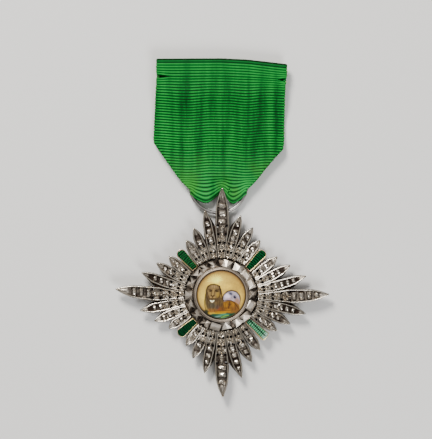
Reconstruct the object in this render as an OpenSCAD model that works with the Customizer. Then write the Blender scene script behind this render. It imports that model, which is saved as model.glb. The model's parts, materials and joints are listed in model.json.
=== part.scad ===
// Breast star: four pierced silver arms and four green enamel rays round a painted medallion,
// hung by a ring from a folded ribbon. Millimetres. The origin is the medallion's axis on the
// surface that the star lies on, +Z rises out of its face and +Y runs up the ribbon.

/* [Star] */
// Reach of the arms' long centre rays from the medallion's axis
star_r = 31; // [28:0.5:35]
// Full width of a centre ray
centre_ray_w = 4; // [3.2:0.1:4.4]
// Full width of a side ray
side_ray_w = 2.9; // [2.4:0.1:3.3]
// Height of a side ray at its root
ray_root_h = 1.8; // [1.4:0.1:2.4]
// Height of a side ray at its tip
ray_tip_h = 1.0; // [0.7:0.1:1.4]
// How far a centre ray stands above its neighbours
centre_rise = 0.35; // [0.1:0.05:0.8]
// Width of the raised rim along each side of a ray
rim_w = 0.42; // [0.3:0.02:0.6]
// Depth of the channel between a ray's two rims
channel_depth = 0.5; // [0.3:0.05:0.7]
// Thickness of the web that joins neighbouring rays
web_t = 0.8; // [0.5:0.1:1.2]
// Reach of the web between two rays, as a share of the shorter one
web_reach = 0.87; // [0.75:0.01:0.92]

/* [Studs] */
// Spacing of the large studs along a ray
stud_pitch = 2.5; // [2.2:0.1:3]
// Width of a large stud across a centre ray
centre_stud_w = 2.3; // [1.6:0.1:2.6]
// Width of a large stud across a side ray
side_stud_w = 1.6; // [1.1:0.1:1.9]
// Width of a small stud
small_stud_w = 1.05; // [0.7:0.05:1.2]
// Height of a large stud above the channel
stud_h = 0.75; // [0.4:0.05:1]
// Distance from a centre ray's tip to its first stud
centre_plain_tip = 6; // [5:0.5:8]
// Distance from a side ray's tip to its first stud
side_plain_tip = 2.9; // [2.4:0.1:3.6]

/* [Pierced holes] */
// Diameter of a pierced hole
hole_d = 0.55; // [0.4:0.05:0.7]
// Distance from the boss to the first row of holes
hole_start = 1.9; // [1.5:0.1:2.5]

/* [Enamel rays] */
// Reach of the enamel rays from the medallion's axis
enamel_reach = 18; // [17:0.25:19]
// Width of an enamel ray's tray at its outer end
tray_w = 2.85; // [2.2:0.05:2.9]
// Width of an enamel ray's tray at the boss
tray_root_w = 2; // [1.5:0.05:2.05]
// Wall of the tray round the enamel
tray_rim = 0.2; // [0.18:0.01:0.32]
// Height of the tray's rim above its back
tray_h = 1.3; // [1:0.05:1.6]
// Thickness of the tray's floor
tray_floor = 0.5; // [0.4:0.05:0.7]
// Thickness of the enamel at its crown
enamel_t = 0.85; // [0.7:0.05:1]

/* [Boss] */
// Outer radius of the faceted boss ring
boss_r = 10.5; // [9.8:0.1:11]
// Height of the boss ring above the arms' roots, at its inner edge
boss_h = 2.9; // [2.2:0.1:3.6]
// Height of the boss ring's outer edge
boss_edge_h = 1.1; // [0.7:0.1:1.6]
// Number of faceted petals round the boss ring
petals = 18; // [14:1:22]
// Depth of the notch between two petals
petal_notch = 1.1; // [0.6:0.1:1.5]

/* [Medallion] */
// Radius of the painted medallion
medallion_r = 7.2; // [6.6:0.1:7.6]
// Wall of the cup that holds the medallion
cup_wall = 0.5; // [0.4:0.05:0.7]
// Thickness of the cup's floor
cup_floor = 1.35; // [1.1:0.05:1.6]
// Thickness of the medallion at its edge
medallion_edge_t = 1.2; // [0.9:0.1:1.6]
// Rise of the medallion's dome
dome_h = 0.6; // [0.3:0.05:1]

/* [Back] */
// Height of the arms' back above the surface that the star lies on
back_z = 2.4; // [2.4:0.05:2.8]
// Radius of the nut behind the star
nut_r = 7; // [5.5:0.25:8]
// Chamfer round the nut
nut_chamfer = 0.5; // [0.2:0.1:0.8]
// Diameter of the post that runs from the nut through the arms
post_d = 3; // [2.4:0.1:3.6]
// Thickness of the arms' roots under the boss
root_t = 0.9; // [0.7:0.05:1.1]
// Clearance between pieces that are clamped or seated together
piece_gap = 0.06; // [0.04:0.01:0.1]

/* [Suspension ring and eye] */
// Radius of the suspension ring, to the middle of its wire
ring_r = 8.4; // [7.9:0.1:9]
// Diameter of the ring's wire
ring_wire = 1; // [0.8:0.05:1]
// Sideways offset of the ring's middle
ring_x = -0.9; // [-1.2:0.1:0]
// Distance of the eye from the medallion's axis
eye_y = 24; // [23.4:0.1:24.6]
// Width of the eye's strap
eye_w = 1.6; // [1.2:0.1:1.8]
// Thickness of the eye's strap
eye_t = 0.55; // [0.4:0.05:0.6]
// Clearance of the ring in the eye and in the ribbon
ring_clear = 0.1; // [0.06:0.02:0.14]

/* [Ribbon] */
// Width of the ribbon
ribbon_w = 37.5; // [36:0.5:40]
// Length of the ribbon from its top edge to the point where the ring leaves it
ribbon_l = 40.2; // [38:0.2:44]
// Thickness of one layer of the ribbon
ribbon_t = 1; // [1:0.02:1.1]
// Spacing of the ribs across the ribbon
rib_pitch = 0.81; // [0.7:0.01:1]
// Height of a rib
rib_h = 0.12; // [0.05:0.01:0.14]
// Height of the soft folds that run down the ribbon
fold_h = 0.3; // [0.1:0.05:0.5]
// How far the ribbon's two bottom lobes hang below its ends
lobe_h = 2; // [1.4:0.1:2.2]
// How far the ribbon's top edge drops at its right end
top_slant = 1.6; // [0:0.1:2]
// Rise of the turned-over hem at the ribbon's top
hem_h = 0.35; // [0.1:0.05:0.5]
// Gap between the ribbon's two layers where nothing is between them
layer_gap = 0.12; // [0.08:0.01:0.16]

/* [Brooch pin] */
// Length of the brooch pin's bar
pin_l = 30; // [26:0.5:32]
// Width of the bar
pin_bar_w = 3; // [2.4:0.1:3.6]
// Thickness of the bar
pin_bar_t = 0.8; // [0.6:0.05:1]
// Diameter of the pin's wire
pin_wire = 0.7; // [0.6:0.05:0.8]
// Distance of the bar below the ribbon's top edge
pin_down = 4; // [3.5:0.1:5]

/* [Hidden] */

// Columns of the ray tables: angle of the tip from the arm's direction, reach of the tip as a
// share of star_r, and angle of the root where the ray comes out of the boss.
TIP = 0;
REACH = 1;
ROOT = 2;
top_rays = [[-35.8, 0.63, -32.5], [-25.3, 0.70, -21.5], [-13.9, 0.77, -10.5], [-0.5, 1.01, -1],
            [11, 0.81, 11], [22.4, 0.68, 22.4], [32.8, 0.61, 33]];
right_rays = [[-33.1, 0.63, -32.4], [-23.1, 0.71, -20.5], [-12.8, 0.82, -11.8], [0.1, 1.02, -2.5],
              [12.3, 0.82, 7.5], [23, 0.71, 18.5], [33.8, 0.64, 30]];
bottom_rays = [[-34.8, 0.58, -32.6], [-23.9, 0.66, -22.6], [-11.9, 0.76, -12], [0.9, 0.97, 0],
               [13.8, 0.81, 10.5], [24.3, 0.70, 21], [34.8, 0.64, 32.9]];
left_rays = [[-35.9, 0.61, -31.5], [-25.9, 0.68, -21.5], [-15.4, 0.78, -10], [-2.9, 1, 1],
             [11.1, 0.78, 11.5], [21.7, 0.68, 21.5], [32.8, 0.59, 31]];

// Columns of the leaf tables: place along the ray and share of its full width.
centre_leaf = [[0, 0.92], [0.2, 0.96], [0.48, 1], [0.66, 0.96], [0.78, 0.84], [0.9, 0.5]];
side_leaf = [[0, 0.74], [0.28, 0.95], [0.52, 1], [0.75, 0.91], [0.9, 0.54]];

// Columns of the arm table: direction, number of single studs on the centre ray, ray table.
DIRECTION = 0;
SINGLES = 1;
RAYS = 2;
arms = [[90, 5, top_rays], [0, 2, right_rays], [-90, 4, bottom_rays], [180, 2, left_rays]];

// Columns of the enamel ray table: angle of the outer end, reach of the outer end as a share of
// enamel_reach, angle at the boss, and how round the outer end is, from 0 for square to 1.
OUT_ANGLE = 0;
OUT_REACH = 1;
IN_ANGLE = 2;
ROUND = 3;
enamel_rays = [[45, 1, 43.5, 1], [134.4, 1, 135.2, 1], [223.5, 0.96, 225, 0.9],
               [316.5, 1.02, 315.3, 0.3]];

// Rows of the ribbon's edges: place down its length, then the edge as a share of the half width.
left_edge = [[0, -1], [0.092, -1], [0.105, -0.8], [0.119, -1], [0.4, -1.015], [0.58, -1.03],
             [0.616, -1.02], [0.964, -0.49], [1, -0.385]];
right_edge = [[0, 1.01], [0.1, 1.01], [0.118, 0.91], [0.136, 0.995], [0.4, 0.98], [0.62, 0.97],
              [0.65, 0.955], [0.964, 0.38], [1, 0.283]];
// Columns of the ribbon: place across, drop of the bottom edge as a share of lobe_h, rise of the
// soft fold as a share of fold_h, and drop of the top edge as a share of top_slant.
ACROSS = 0;
LOBE = 1;
FOLD = 2;
SLANT = 3;
ribbon_columns = [[-1, 0, 0.2, 0], [-0.6, 0.42, 0, 0], [-0.35, 0.25, 0.9, 0],
                  [-0.18, -0.2, 0.6, 0], [-0.03, -0.75, 0, 0], [0.12, -1, 0.1, 0.05],
                  [0.3, -0.8, 0.9, 0.18], [0.44, -0.25, 1, 0.36], [0.57, 0.4, 0.5, 0.5],
                  [0.71, 0.58, 0.2, 0.65], [1, 0, 0.5, 1]];

// Places of a stud's four rows along it, and of the rows in a ray's plain tip.
stud_rows = [0, 0.25, 0.75, 1];
plain_rows = [0.4, 0.75];
// Rows of holes in each ray of an arm.
hole_rows = [1, 2, 2, 4, 2, 2, 1];
// How much the studs differ in height, and half the angle of the arm's root under the boss.
stud_spread = 0.12;
root_half = 31;
// Overshoot of a cut past the solid that it goes through.
cut = 1;
// Bevel along the outer side of a ray's rim, and the slope on its inner side.
rim_bevel = 0.15;
rim_side = 0.3;
rim_slope = 0.12;
// How far pieces of one casting run into each other.
lap = 0.3;
// How far the cup's rim stands above the boss ring, and the clearance round the post in the cup.
cup_proud = 0.15;
post_clear = 0.1;
// How far the middle of the ribbon's bottom edge lies below the ring's middle.
ribbon_dip = 3.45;
// How far the ribbon's folds at the top and the bottom bulge past its flat part.
fold_bulge = 1;
// Clearance round the pin's wire.
pin_clear = 0.2;

face_z = back_z + root_t + piece_gap;
ray_root_r = boss_r + 0.2;
cup_r = medallion_r + cup_wall + piece_gap;
cup_z = face_z + cup_floor;
post_socket = cup_floor * 0.6;
ring_z = ribbon_t + ring_clear + ring_wire / 2;
ring_y = eye_y + sqrt(ring_r * ring_r - ring_x * ring_x);
ribbon_end_y = ring_y - ribbon_dip;
ribbon_top_y = ribbon_end_y + ribbon_l;
ring_top_y = ring_y + ring_r + ring_wire / 2;
ring_space = ring_wire + 2 * ring_clear;
pin_rise = pin_wire + 2 * pin_clear;
pin_lift = pin_rise + pin_bar_t + piece_gap;
smooth_fn = 64;

function polar(r, a) = [r * cos(a), r * sin(a)];
function mix(a, b, t) = a + (b - a) * t;
function smooth(a, b, x) = let (t = min(1, max(0, (x - a) / (b - a)))) t * t * (3 - 2 * t);
function degrees(arc, r) = arc / r * 180 / PI;
function is_centre(i) = i == 3;
function tip_r(ray) = ray[REACH] * star_r;
function ray_share(ray, r) = (r - ray_root_r) / (tip_r(ray) - ray_root_r);
function axis_angle(ray, r) = mix(ray[ROOT], ray[TIP], ray_share(ray, r));
function leaf_w(i, ray, r) = is_centre(i) ? centre_ray_w / 2 * lookup(ray_share(ray, r), centre_leaf)
    : side_ray_w / 2 * lookup(ray_share(ray, r), side_leaf);
function ray_h(i, ray, r) =
    mix(ray_root_h, ray_tip_h, ray_share(ray, r)) + (is_centre(i) ? centre_rise : 0);

// Rows across an arm, counted outward. Row 0 is beside the boss. Four rows then make each stud:
// its foot, the two ends of its table and its foot again, and a groove parts it from the next.
function stud_foot(s) =
    ray_root_r + (s == 0 ? lap / 2 : hole_start + (s - 1) * stud_pitch + hole_d / 2);
function stud_end(s) = ray_root_r + hole_start + s * stud_pitch - hole_d / 2;
function row_r(k) = k == 0 ? ray_root_r
    : let (s = floor((k - 1) / 4)) mix(stud_foot(s), stud_end(s), stud_rows[(k - 1) % 4]);
function is_table(k) = k > 0 && ((k - 1) % 4 == 1 || (k - 1) % 4 == 2);
function row_near(r) = 1 + len([for (k = [1:60]) if (row_r(k) + row_r(k + 1) < 2 * r) k]);
function stud_count(i, ray) = 1 + floor((tip_r(ray) - ray_root_r - hole_start + hole_d / 2
    - (is_centre(i) ? centre_plain_tip : side_plain_tip)) / stud_pitch);

// The valley between ray j and the next one: its reach, and the angle halfway between the two.
function valley_reach(rays, j) = web_reach * min(tip_r(rays[j]), tip_r(rays[j + 1]));
function valley_angle(rays, j, r) = (axis_angle(rays[j], r) + axis_angle(rays[j + 1], r)) / 2;

// Columns across a ray: side of its axis, and kind of line.
EDGE = 0;
CREST = 1;
FLOOR = 2;
OUTER = 3;
INNER = 4;
MIDDLE = 5;
side_columns = [[-1, EDGE], [-1, CREST], [-1, FLOOR], [-1, OUTER],
                [1, OUTER], [1, FLOOR], [1, CREST], [1, EDGE]];
centre_columns = [[-1, EDGE], [-1, CREST], [-1, FLOOR], [-1, OUTER], [-1, INNER], [0, MIDDLE],
                  [1, INNER], [1, OUTER], [1, FLOOR], [1, CREST], [1, EDGE]];
function ray_columns(i) = is_centre(i) ? centre_columns : side_columns;

// Distance of a column from the ray's axis: edge is the ray's edge there, and w its half width.
// Each column keeps a share of the room that is left, so that none of them meet.
function column_d(i, kind, table, edge, w) =
    let (floor_d = w - min(rim_w + rim_slope, 0.6 * w),
         table_d = is_centre(i) ? min(0.7 * floor_d, 0.3 * centre_stud_w)
                                : min(0.6 * floor_d, 0.28 * side_stud_w),
         outer_d = table ? table_d : max(0.3 * floor_d, floor_d - hole_d))
    kind == EDGE ? edge : kind == CREST ? w - min(rim_bevel, 0.2 * w)
    : kind == FLOOR ? floor_d : kind == OUTER ? outer_d
    : kind == INNER ? outer_d - min(0.5 * outer_d, 0.4 * small_stud_w) : 0;

// Triangles between the points `a` of one row and the points `b` of the next, seen from above.
function band(a, b) = concat(
    [for (j = [0:1:len(b) - 2]) [a[0], b[j + 1], b[j]]],
    [for (j = [0:1:len(a) - 2]) [a[j], a[j + 1], b[len(b) - 1]]]);
// The same triangles at the arm's back, where each point comes n further in the list.
function at_back(faces, n) = [for (f = faces) [f[0] + n, f[2] + n, f[1] + n]];
// A wall down from the edge p to q, by n points in the list, facing to the right of p to q.
function wall(p, q, n) = [[p, q, q + n], [p, q + n, p + n]];

// Triangles under row k of ray i, seen from above, with gaps at the holes. The columns are those
// of the ray's edges and holes, and a row without holes at an end needs its edges only.
function back_band(i, k, columns, before, here, after, at) =
    let (edges = [columns[0], columns[len(columns) - 1]],
         near = before || here ? columns : edges,
         far = here || after ? columns : edges)
    here ? [for (j = [0:2:len(columns) - 2]) each
            band([at(i, k, columns[j]), at(i, k, columns[j + 1])],
                 [at(i, k + 1, columns[j]), at(i, k + 1, columns[j + 1])])]
         : band([for (c = near) at(i, k, c)], [for (c = far) at(i, k + 1, c)]);

// One cast and pierced arm of seven rays, joined by their valleys. It has no tool marks at its
// back, and its root is a thin sector under the boss, clear of the post and of the next arms.
module arm(index) {
    rays = arms[index][RAYS];
    last = len(rays) - 1;
    studs = [for (i = [0:last]) stud_count(i, rays[i])];
    joined = [for (j = [0:last - 1]) row_near(valley_reach(rays, j))];
    joined_at = function (i, side) side < 0 ? (i > 0 ? joined[i - 1] : -1)
                                            : (i < last ? joined[i] : -1);
    end_row = [for (i = [0:last]) max(4 * studs[i], joined_at(i, -1), joined_at(i, 1))];
    radii = [for (i = [0:last]) let (far = row_r(end_row[i]))
        concat([for (k = [0:end_row[i]]) row_r(k)],
               [for (t = plain_rows) mix(far, tip_r(rays[i]), t)])];
    is_joined = function (i, side, k) k <= joined_at(i, side);
    has_holes = function (i, k) k % 4 == 0 && k > 0 && k <= 4 * hole_rows[i] && k < end_row[i];

    // Half width of ray i at row k on one side: up to the valley, or less than halfway to it.
    half_gap = function (i, side, r)
        i + side < 0 || i + side > last ? star_r
        : abs(axis_angle(rays[i + side], r) - axis_angle(rays[i], r)) / 2 * r * PI / 180;
    point = function (i, k, side, kind)
        let (ray = rays[i], on_valley = kind == EDGE && is_joined(i, side, k),
             r = on_valley && k == joined_at(i, side)
                 ? valley_reach(rays, side < 0 ? i - 1 : i) : radii[i][k],
             gap = half_gap(i, side, r), joined_here = is_joined(i, side, k),
             w = min(leaf_w(i, ray, r), gap - (joined_here ? 0 : rim_bevel)),
             h = ray_h(i, ray, r), s = floor((k - 1) / 4),
             table = is_table(k) && k < 4 * studs[i],
             paired = is_centre(i) && s < studs[i] - arms[index][SINGLES],
             base = h - channel_depth * min(1, w / (2 * rim_w)),
             stud = stud_h * (1 + stud_spread * sin(137 * s + 71 * i)),
             angle = on_valley ? valley_angle(rays, side < 0 ? i - 1 : i, r)
                 : axis_angle(ray, r) + side * degrees(column_d(i, kind, table, w, w), r),
             z = k == 0 ? root_t
                 : kind == EDGE ? (joined_here ? web_t : h - rim_side)
                 : kind == CREST ? h
                 : table && kind != FLOOR && !(kind == MIDDLE && paired) ? base + stud : base)
        [each polar(r, angle), z];

    // The points: the rays row by row, their tips, and the root's inner rows. Below each lies one
    // on the arm's back, n points further in the list.
    ray_points = [for (i = [0:last]) [for (k = [0:len(radii[i]) - 1], c = ray_columns(i))
        point(i, k, c[0], c[1])]];
    starts = [for (i = 0, sum = 0; i <= last; sum = sum + len(ray_points[i]), i = i + 1) sum];
    tips = starts[last] + len(ray_points[last]);
    tip_points = [for (i = [0:last])
        [each polar(tip_r(rays[i]), rays[i][TIP]), ray_h(i, rays[i], tip_r(rays[i])) - rim_side]];
    inner = tips + last + 1;
    root_points = [for (r = [post_d / 2 + 2 * lap, cup_r - 2 * lap], j = [0:last + 1])
        [each polar(r, mix(-root_half, root_half, j / (last + 1))), root_t]];
    tops = concat([for (list = ray_points) each list], tip_points, root_points);
    n = len(tops);
    points = concat(tops, [for (p = tops) [p.x, p.y, 0]]);

    at = function (i, k, c) c == 0 && is_joined(i, -1, k)
        ? starts[i - 1] + (k + 1) * len(ray_columns(i - 1)) - 1
        : starts[i] + k * len(ray_columns(i)) + c;
    ray_faces = [for (i = [0:last]) let (cols = len(ray_columns(i)) - 1, end = len(radii[i]) - 1,
                                         holes = is_centre(i) ? [2, 3, 7, 8] : [2, 3, 4, 5])
        each concat(
            [for (k = [0:end - 1], c = [0:cols - 1])
                each has_holes(i, k) && (c == holes[0] || c == holes[2])
                    ? let (a = at(i, k, c), b = at(i, k, c + 1), d = at(i, k + 1, c),
                           e = at(i, k + 1, c + 1))
                      concat(wall(a, b, n), wall(b, e, n), wall(e, d, n), wall(d, a, n))
                    : band([at(i, k, c), at(i, k, c + 1)], [at(i, k + 1, c), at(i, k + 1, c + 1)])],
            [for (k = [0:end - 1]) each at_back(back_band(i, k, [0, each holes, cols],
                has_holes(i, k - 1), has_holes(i, k), has_holes(i, k + 1), at), n)],
            [for (c = [0:cols - 1]) [at(i, end, c), at(i, end, c + 1), tips + i]],
            [[at(i, end, 0) + n, tips + i + n, at(i, end, cols) + n]],
            wall(at(i, end, 0), tips + i, n), wall(tips + i, at(i, end, cols), n),
            [for (k = [max(0, joined_at(i, -1)):end - 1]) each
                wall(at(i, k, 0), at(i, k + 1, 0), n)],
            [for (k = [max(0, joined_at(i, 1)):end - 1]) each
                wall(at(i, k + 1, cols), at(i, k, cols), n)])];
    m = last + 2;
    root_faces = [for (j = [0:last]) let (cols = len(ray_columns(j)) - 1)
        each concat(
            band([inner + j, inner + j + 1], [inner + m + j, inner + m + j + 1]),
            at_back(band([inner + j, inner + j + 1], [inner + m + j, inner + m + j + 1]), n),
            band([inner + m + j, inner + m + j + 1], [for (c = [0:cols]) at(j, 0, c)]),
            at_back(band([inner + m + j, inner + m + j + 1], [at(j, 0, 0), at(j, 0, cols)]), n),
            wall(inner + j + 1, inner + j, n))];
    root_sides = concat(
        wall(inner, inner + m, n), wall(inner + m, at(0, 0, 0), n),
        wall(inner + 2 * m - 1, inner + m - 1, n),
        wall(at(last, 0, len(ray_columns(last)) - 1), inner + 2 * m - 1, n));
    color([0.62, 0.60, 0.56]) rotate(arms[index][DIRECTION]) translate([0, 0, back_z])
        polyhedron(points = points, faces = concat(ray_faces, root_faces, root_sides));
}

// Outline of an enamel ray along +X: narrow at the boss, with a round or blunt outer end.
function tray_outline(length, inset, roundness) =
    let (w = tray_w / 2 - inset, root_w = tray_root_w / 2 - inset, end = length - inset,
         nose = roundness * w)
    concat([[inset, root_w]],
           [for (a = [90:-22.5:-90]) [end - nose + nose * cos(a), w * sin(a)]],
           [[inset, -root_w]]);

function tray_root_point(row) = polar(ray_root_r, row[IN_ANGLE]);
function tray_tip_point(row) = polar(row[OUT_REACH] * enamel_reach, row[OUT_ANGLE]);
function tray_length(row) = norm(tray_tip_point(row) - tray_root_point(row));
function tray_turn(row) = let (d = tray_tip_point(row) - tray_root_point(row)) atan2(d.y, d.x);

module at_tray(row) {
    translate([each tray_root_point(row), back_z]) rotate(tray_turn(row)) children();
}

// The gilt tray of one enamel ray, with a tongue that is clamped under the boss.
module enamel_tray(index) {
    row = enamel_rays[index];
    length = tray_length(row);
    tongue = ray_root_r - cup_r + 2 * lap;
    color([0.78, 0.70, 0.50]) at_tray(row) union() {
        difference() {
            linear_extrude(tray_h) polygon(tray_outline(length, 0, row[ROUND]));
            translate([0, 0, tray_floor])
                linear_extrude(tray_h) polygon(tray_outline(length, tray_rim, row[ROUND]));
        }
        translate([-tongue, -tray_root_w / 2, 0]) cube([tongue + tray_rim, tray_root_w, root_t]);
    }
}

// Faces between rings of n points each.
function skin(rows, n) =
    [for (r = [0:rows - 2], k = [0:n - 1]) each
        let (a = r * n + k, b = r * n + (k + 1) % n) [[a, b, b + n], [a, b + n, a + n]]];

// One enamel ray: a low pillow of glass in its tray.
module enamel_ray(index) {
    row = enamel_rays[index];
    length = tray_length(row);
    // Columns of the levels: inset from the tray's wall, height as a share of enamel_t.
    levels = [[0, 0], [0, 0.72], [0.12, 0.9], [0.35, 1]];
    rings = [for (level = levels)
        let (outline = tray_outline(length, tray_rim + piece_gap + level[0], row[ROUND]))
        each [for (p = outline) [p.x, p.y, tray_floor + piece_gap + level[1] * enamel_t]]];
    n = len(rings) / len(levels);
    top = len(rings) - n;
    color([0.02, 0.38, 0.16]) at_tray(row)
        polyhedron(points = rings,
                   faces = concat([[for (k = [n - 1:-1:0]) k]], skin(len(levels), n),
                                  [[for (k = [0:n - 1]) top + k]]));
}

// The faceted collar round the medallion: petals with a raised crest and notches between them.
module boss_ring() {
    // Columns of one petal's steps: reach lost to the notch, drop of the crest and of the edge,
    // as shares of petal_notch, of boss_h and of boss_edge_h.
    steps = [[1, 0.34, 0.5], [0.12, 0.12, 0.1], [0, 0, 0], [0.12, 0.12, 0.1]];
    turns = petals * len(steps);
    inner_r = cup_r + piece_gap;
    mid_r = mix(inner_r, boss_r, 0.5);
    rings = [for (k = [0:turns - 1])
        let (step = steps[k % len(steps)], a = 360 * k / turns,
             edge_r = boss_r - petal_notch * step[0],
             crest = boss_h * (0.84 - step[1]), edge = boss_edge_h * (1 - step[2]))
        each [[each polar(inner_r, a), 0], [each polar(inner_r, a), boss_h],
              [each polar(min(mid_r, edge_r - lap), a), crest], [each polar(edge_r, a), edge],
              [each polar(edge_r, a), 0]]];
    n = 5;
    count = len(rings);
    faces = [for (r = [0:turns - 1], k = [0:n - 1]) each
        let (a = r * n + k, b = r * n + (k + 1) % n, c = (b + n) % count, d = (a + n) % count)
        [[a, c, b], [a, d, c]]];
    color([0.66, 0.64, 0.60]) translate([0, 0, face_z])
        polyhedron(points = rings, faces = faces);
}

// The plain cup that holds the medallion, with a blind hole for the post.
module medallion_cup() {
    color([0.70, 0.68, 0.64]) translate([0, 0, face_z]) difference() {
        cylinder(h = boss_h + cup_proud, r = cup_r, $fn = smooth_fn);
        translate([0, 0, cup_floor]) cylinder(h = boss_h, r = cup_r - cup_wall, $fn = smooth_fn);
        translate([0, 0, -cut])
            cylinder(h = cut + post_socket, d = post_d + 2 * post_clear, $fn = smooth_fn);
    }
}

// The painted medallion: a disc with a low domed face.
module medallion() {
    dome_r = (medallion_r * medallion_r + dome_h * dome_h) / (2 * dome_h);
    half_arc = asin(medallion_r / dome_r);
    dome = [for (k = [0:9]) let (a = half_arc * (1 - k / 10))
        [dome_r * sin(a), medallion_edge_t + dome_h - dome_r * (1 - cos(a))]];
    color([0.90, 0.80, 0.55]) translate([0, 0, cup_z + piece_gap])
        rotate_extrude($fn = smooth_fn)
            polygon(concat([[0, 0], [medallion_r, 0]], dome, [[0, medallion_edge_t + dome_h]]));
}

// The nut behind the star, on a post that runs up between the arms' roots into the cup.
module back_nut() {
    nut_t = back_z - piece_gap;
    post_h = face_z + post_socket - post_clear;
    color([0.55, 0.54, 0.52]) rotate_extrude($fn = smooth_fn)
        polygon([[0, 0], [nut_r - nut_chamfer, 0], [nut_r, nut_chamfer], [nut_r, nut_t],
                 [post_d / 2, nut_t], [post_d / 2, post_h], [0, post_h]]);
}

// The hidden eye behind the top arm: a bent strap with two feet, round the ring's wire.
module hanging_eye() {
    reach = ring_wire / 2 + 2 * ring_clear;
    bottom = ring_z - reach - eye_t;
    top = back_z - piece_gap;
    foot = 1.1;
    color([0.60, 0.58, 0.54]) translate([-eye_w / 2, eye_y, 0]) union() {
        translate([0, -reach - eye_t, bottom]) cube([eye_w, 2 * (reach + eye_t), eye_t]);
        for (side = [-1, 1]) {
            leg_y = side > 0 ? reach : -reach - eye_t;
            translate([0, leg_y, bottom]) cube([eye_w, eye_t, top - bottom]);
            foot_y = side > 0 ? reach : -reach - eye_t - foot;
            translate([0, foot_y, top - eye_t / 2]) cube([eye_w, eye_t + foot, eye_t / 2]);
        }
    }
}

// The thin round ring that the ribbon runs through.
module suspension_ring() {
    color([0.60, 0.58, 0.54]) translate([ring_x, ring_y, ring_z])
        rotate_extrude($fn = smooth_fn) translate([ring_r, 0]) circle(d = ring_wire, $fn = 24);
}

function column_place(c, v) = let (u = (ribbon_columns[c][ACROSS] + 1) / 2)
    ribbon_w / 2 * mix(lookup(v, left_edge), lookup(v, right_edge), u);
function row_place(c, v) = ribbon_top_y - fold_bulge - v * (ribbon_l - fold_bulge)
    - ribbon_columns[c][SLANT] * top_slant * (1 - smooth(0, 0.3, v))
    - ribbon_columns[c][LOBE] * lobe_h * smooth(0.74, 1, v);
function lift_at(v) = pin_lift * (1 - smooth(0.2, 0.45, v));
function hem_at(v) = hem_h * (1 - smooth(0.11, 0.15, v));
function under_ray(x, y) =
    (1 - smooth(1.5, 3.4, abs(x))) * (1 - smooth(star_r + 1, star_r + 4, y));
function gap_at(x, y) =
    let (near_ring = 1 - smooth(ring_top_y + 0.3, ring_top_y + 6, y))
    mix(layer_gap, ring_space, near_ring * (1 - under_ray(x, y)));
function fold_at(c, v, x, y) =
    ribbon_columns[c][FOLD] * fold_h * smooth(0.05, 0.8, v) * (1 - under_ray(x, y));

// The ribbon: a band of two layers, folded over at the top and at the bottom, with the ring
// between the layers. Its front carries the ribs.
module ribbon() {
    m = 16;
    per_row = max(2, round(2 * ribbon_l / (rib_pitch * m)));
    fine = m * per_row;
    bend = 4;
    columns = len(ribbon_columns);
    outer_n = fine + m + 2 * bend;
    inner_n = 2 * m + 2;
    ring_n = outer_n + inner_n;
    points = [for (c = [0:columns - 1]) each
        let (x = [for (v = [0:1 / fine:1.0001]) column_place(c, min(1, v))],
             y = [for (v = [0:1 / fine:1.0001]) row_place(c, min(1, v))],
             low = [for (k = [0:fine]) lift_at(k / fine)],
             gap = [for (k = [0:fine]) gap_at(x[k], y[k])],
             front = [for (k = [0:fine]) low[k] + 2 * ribbon_t + gap[k] + hem_at(k / fine)
                 + fold_at(c, k / fine, x[k], y[k])],
             coarse = [for (k = [0:m]) k * per_row],
             inner_y = [for (k = coarse) y[k] + (k == 0 ? -0.2 : k == fine ? 0.2 : 0)],
             half_end = front[fine] / 2, half_top = (front[0] - low[0]) / 2)
        concat(
            [for (k = [0:fine]) [x[k], y[k], front[k] + (k % 2) * rib_h]],
            [for (b = [1:bend - 1]) let (a = 90 - 180 * b / bend)
                [x[fine], y[fine] - fold_bulge * cos(a), half_end * (1 + sin(a))]],
            [for (k = [m:-1:0]) [x[coarse[k]], y[coarse[k]], low[coarse[k]]]],
            [for (b = [1:bend - 1]) let (a = -90 + 180 * b / bend)
                [x[0], y[0] + fold_bulge * cos(a), low[0] + half_top * (1 + sin(a))]],
            [for (k = [0:m]) [x[coarse[k]], inner_y[k], front[coarse[k]] - ribbon_t]],
            [for (k = [m:-1:0]) [x[coarse[k]], inner_y[k], low[coarse[k]] + ribbon_t]])];
    outer_skin = [for (c = [0:columns - 2], k = [0:outer_n - 1]) each
        let (a = c * ring_n + k, b = c * ring_n + (k + 1) % outer_n)
        [[a, a + ring_n, b + ring_n], [a, b + ring_n, b]]];
    inner_skin = [for (c = [0:columns - 2], k = [0:inner_n - 1]) each
        let (a = c * ring_n + outer_n + k, b = c * ring_n + outer_n + (k + 1) % inner_n)
        [[a, b + ring_n, a + ring_n], [a, b, b + ring_n]]];
    // For each inner point, the outer point that it faces across the ribbon's thickness.
    facing = concat([for (k = [0:m]) k * per_row], [for (k = [0:m]) fine + bend + k], [outer_n]);
    edge = [for (j = [0:inner_n - 1]) each
        let (a = outer_n + j, b = outer_n + (j + 1) % inner_n,
             middle = floor((facing[j] + facing[j + 1] + 1) / 2))
        concat([for (k = [facing[j]:1:middle - 1]) [a, k, (k + 1) % outer_n]],
               [[a, middle % outer_n, b]],
               [for (k = [middle:1:facing[j + 1] - 1]) [b, k, (k + 1) % outer_n]])];
    far = (columns - 1) * ring_n;
    far_edge = [for (t = edge) [far + t[0], far + t[2], far + t[1]]];
    color([0.10, 0.55, 0.22])
        polyhedron(points = points, faces = concat(outer_skin, inner_skin, edge, far_edge));
}

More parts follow.
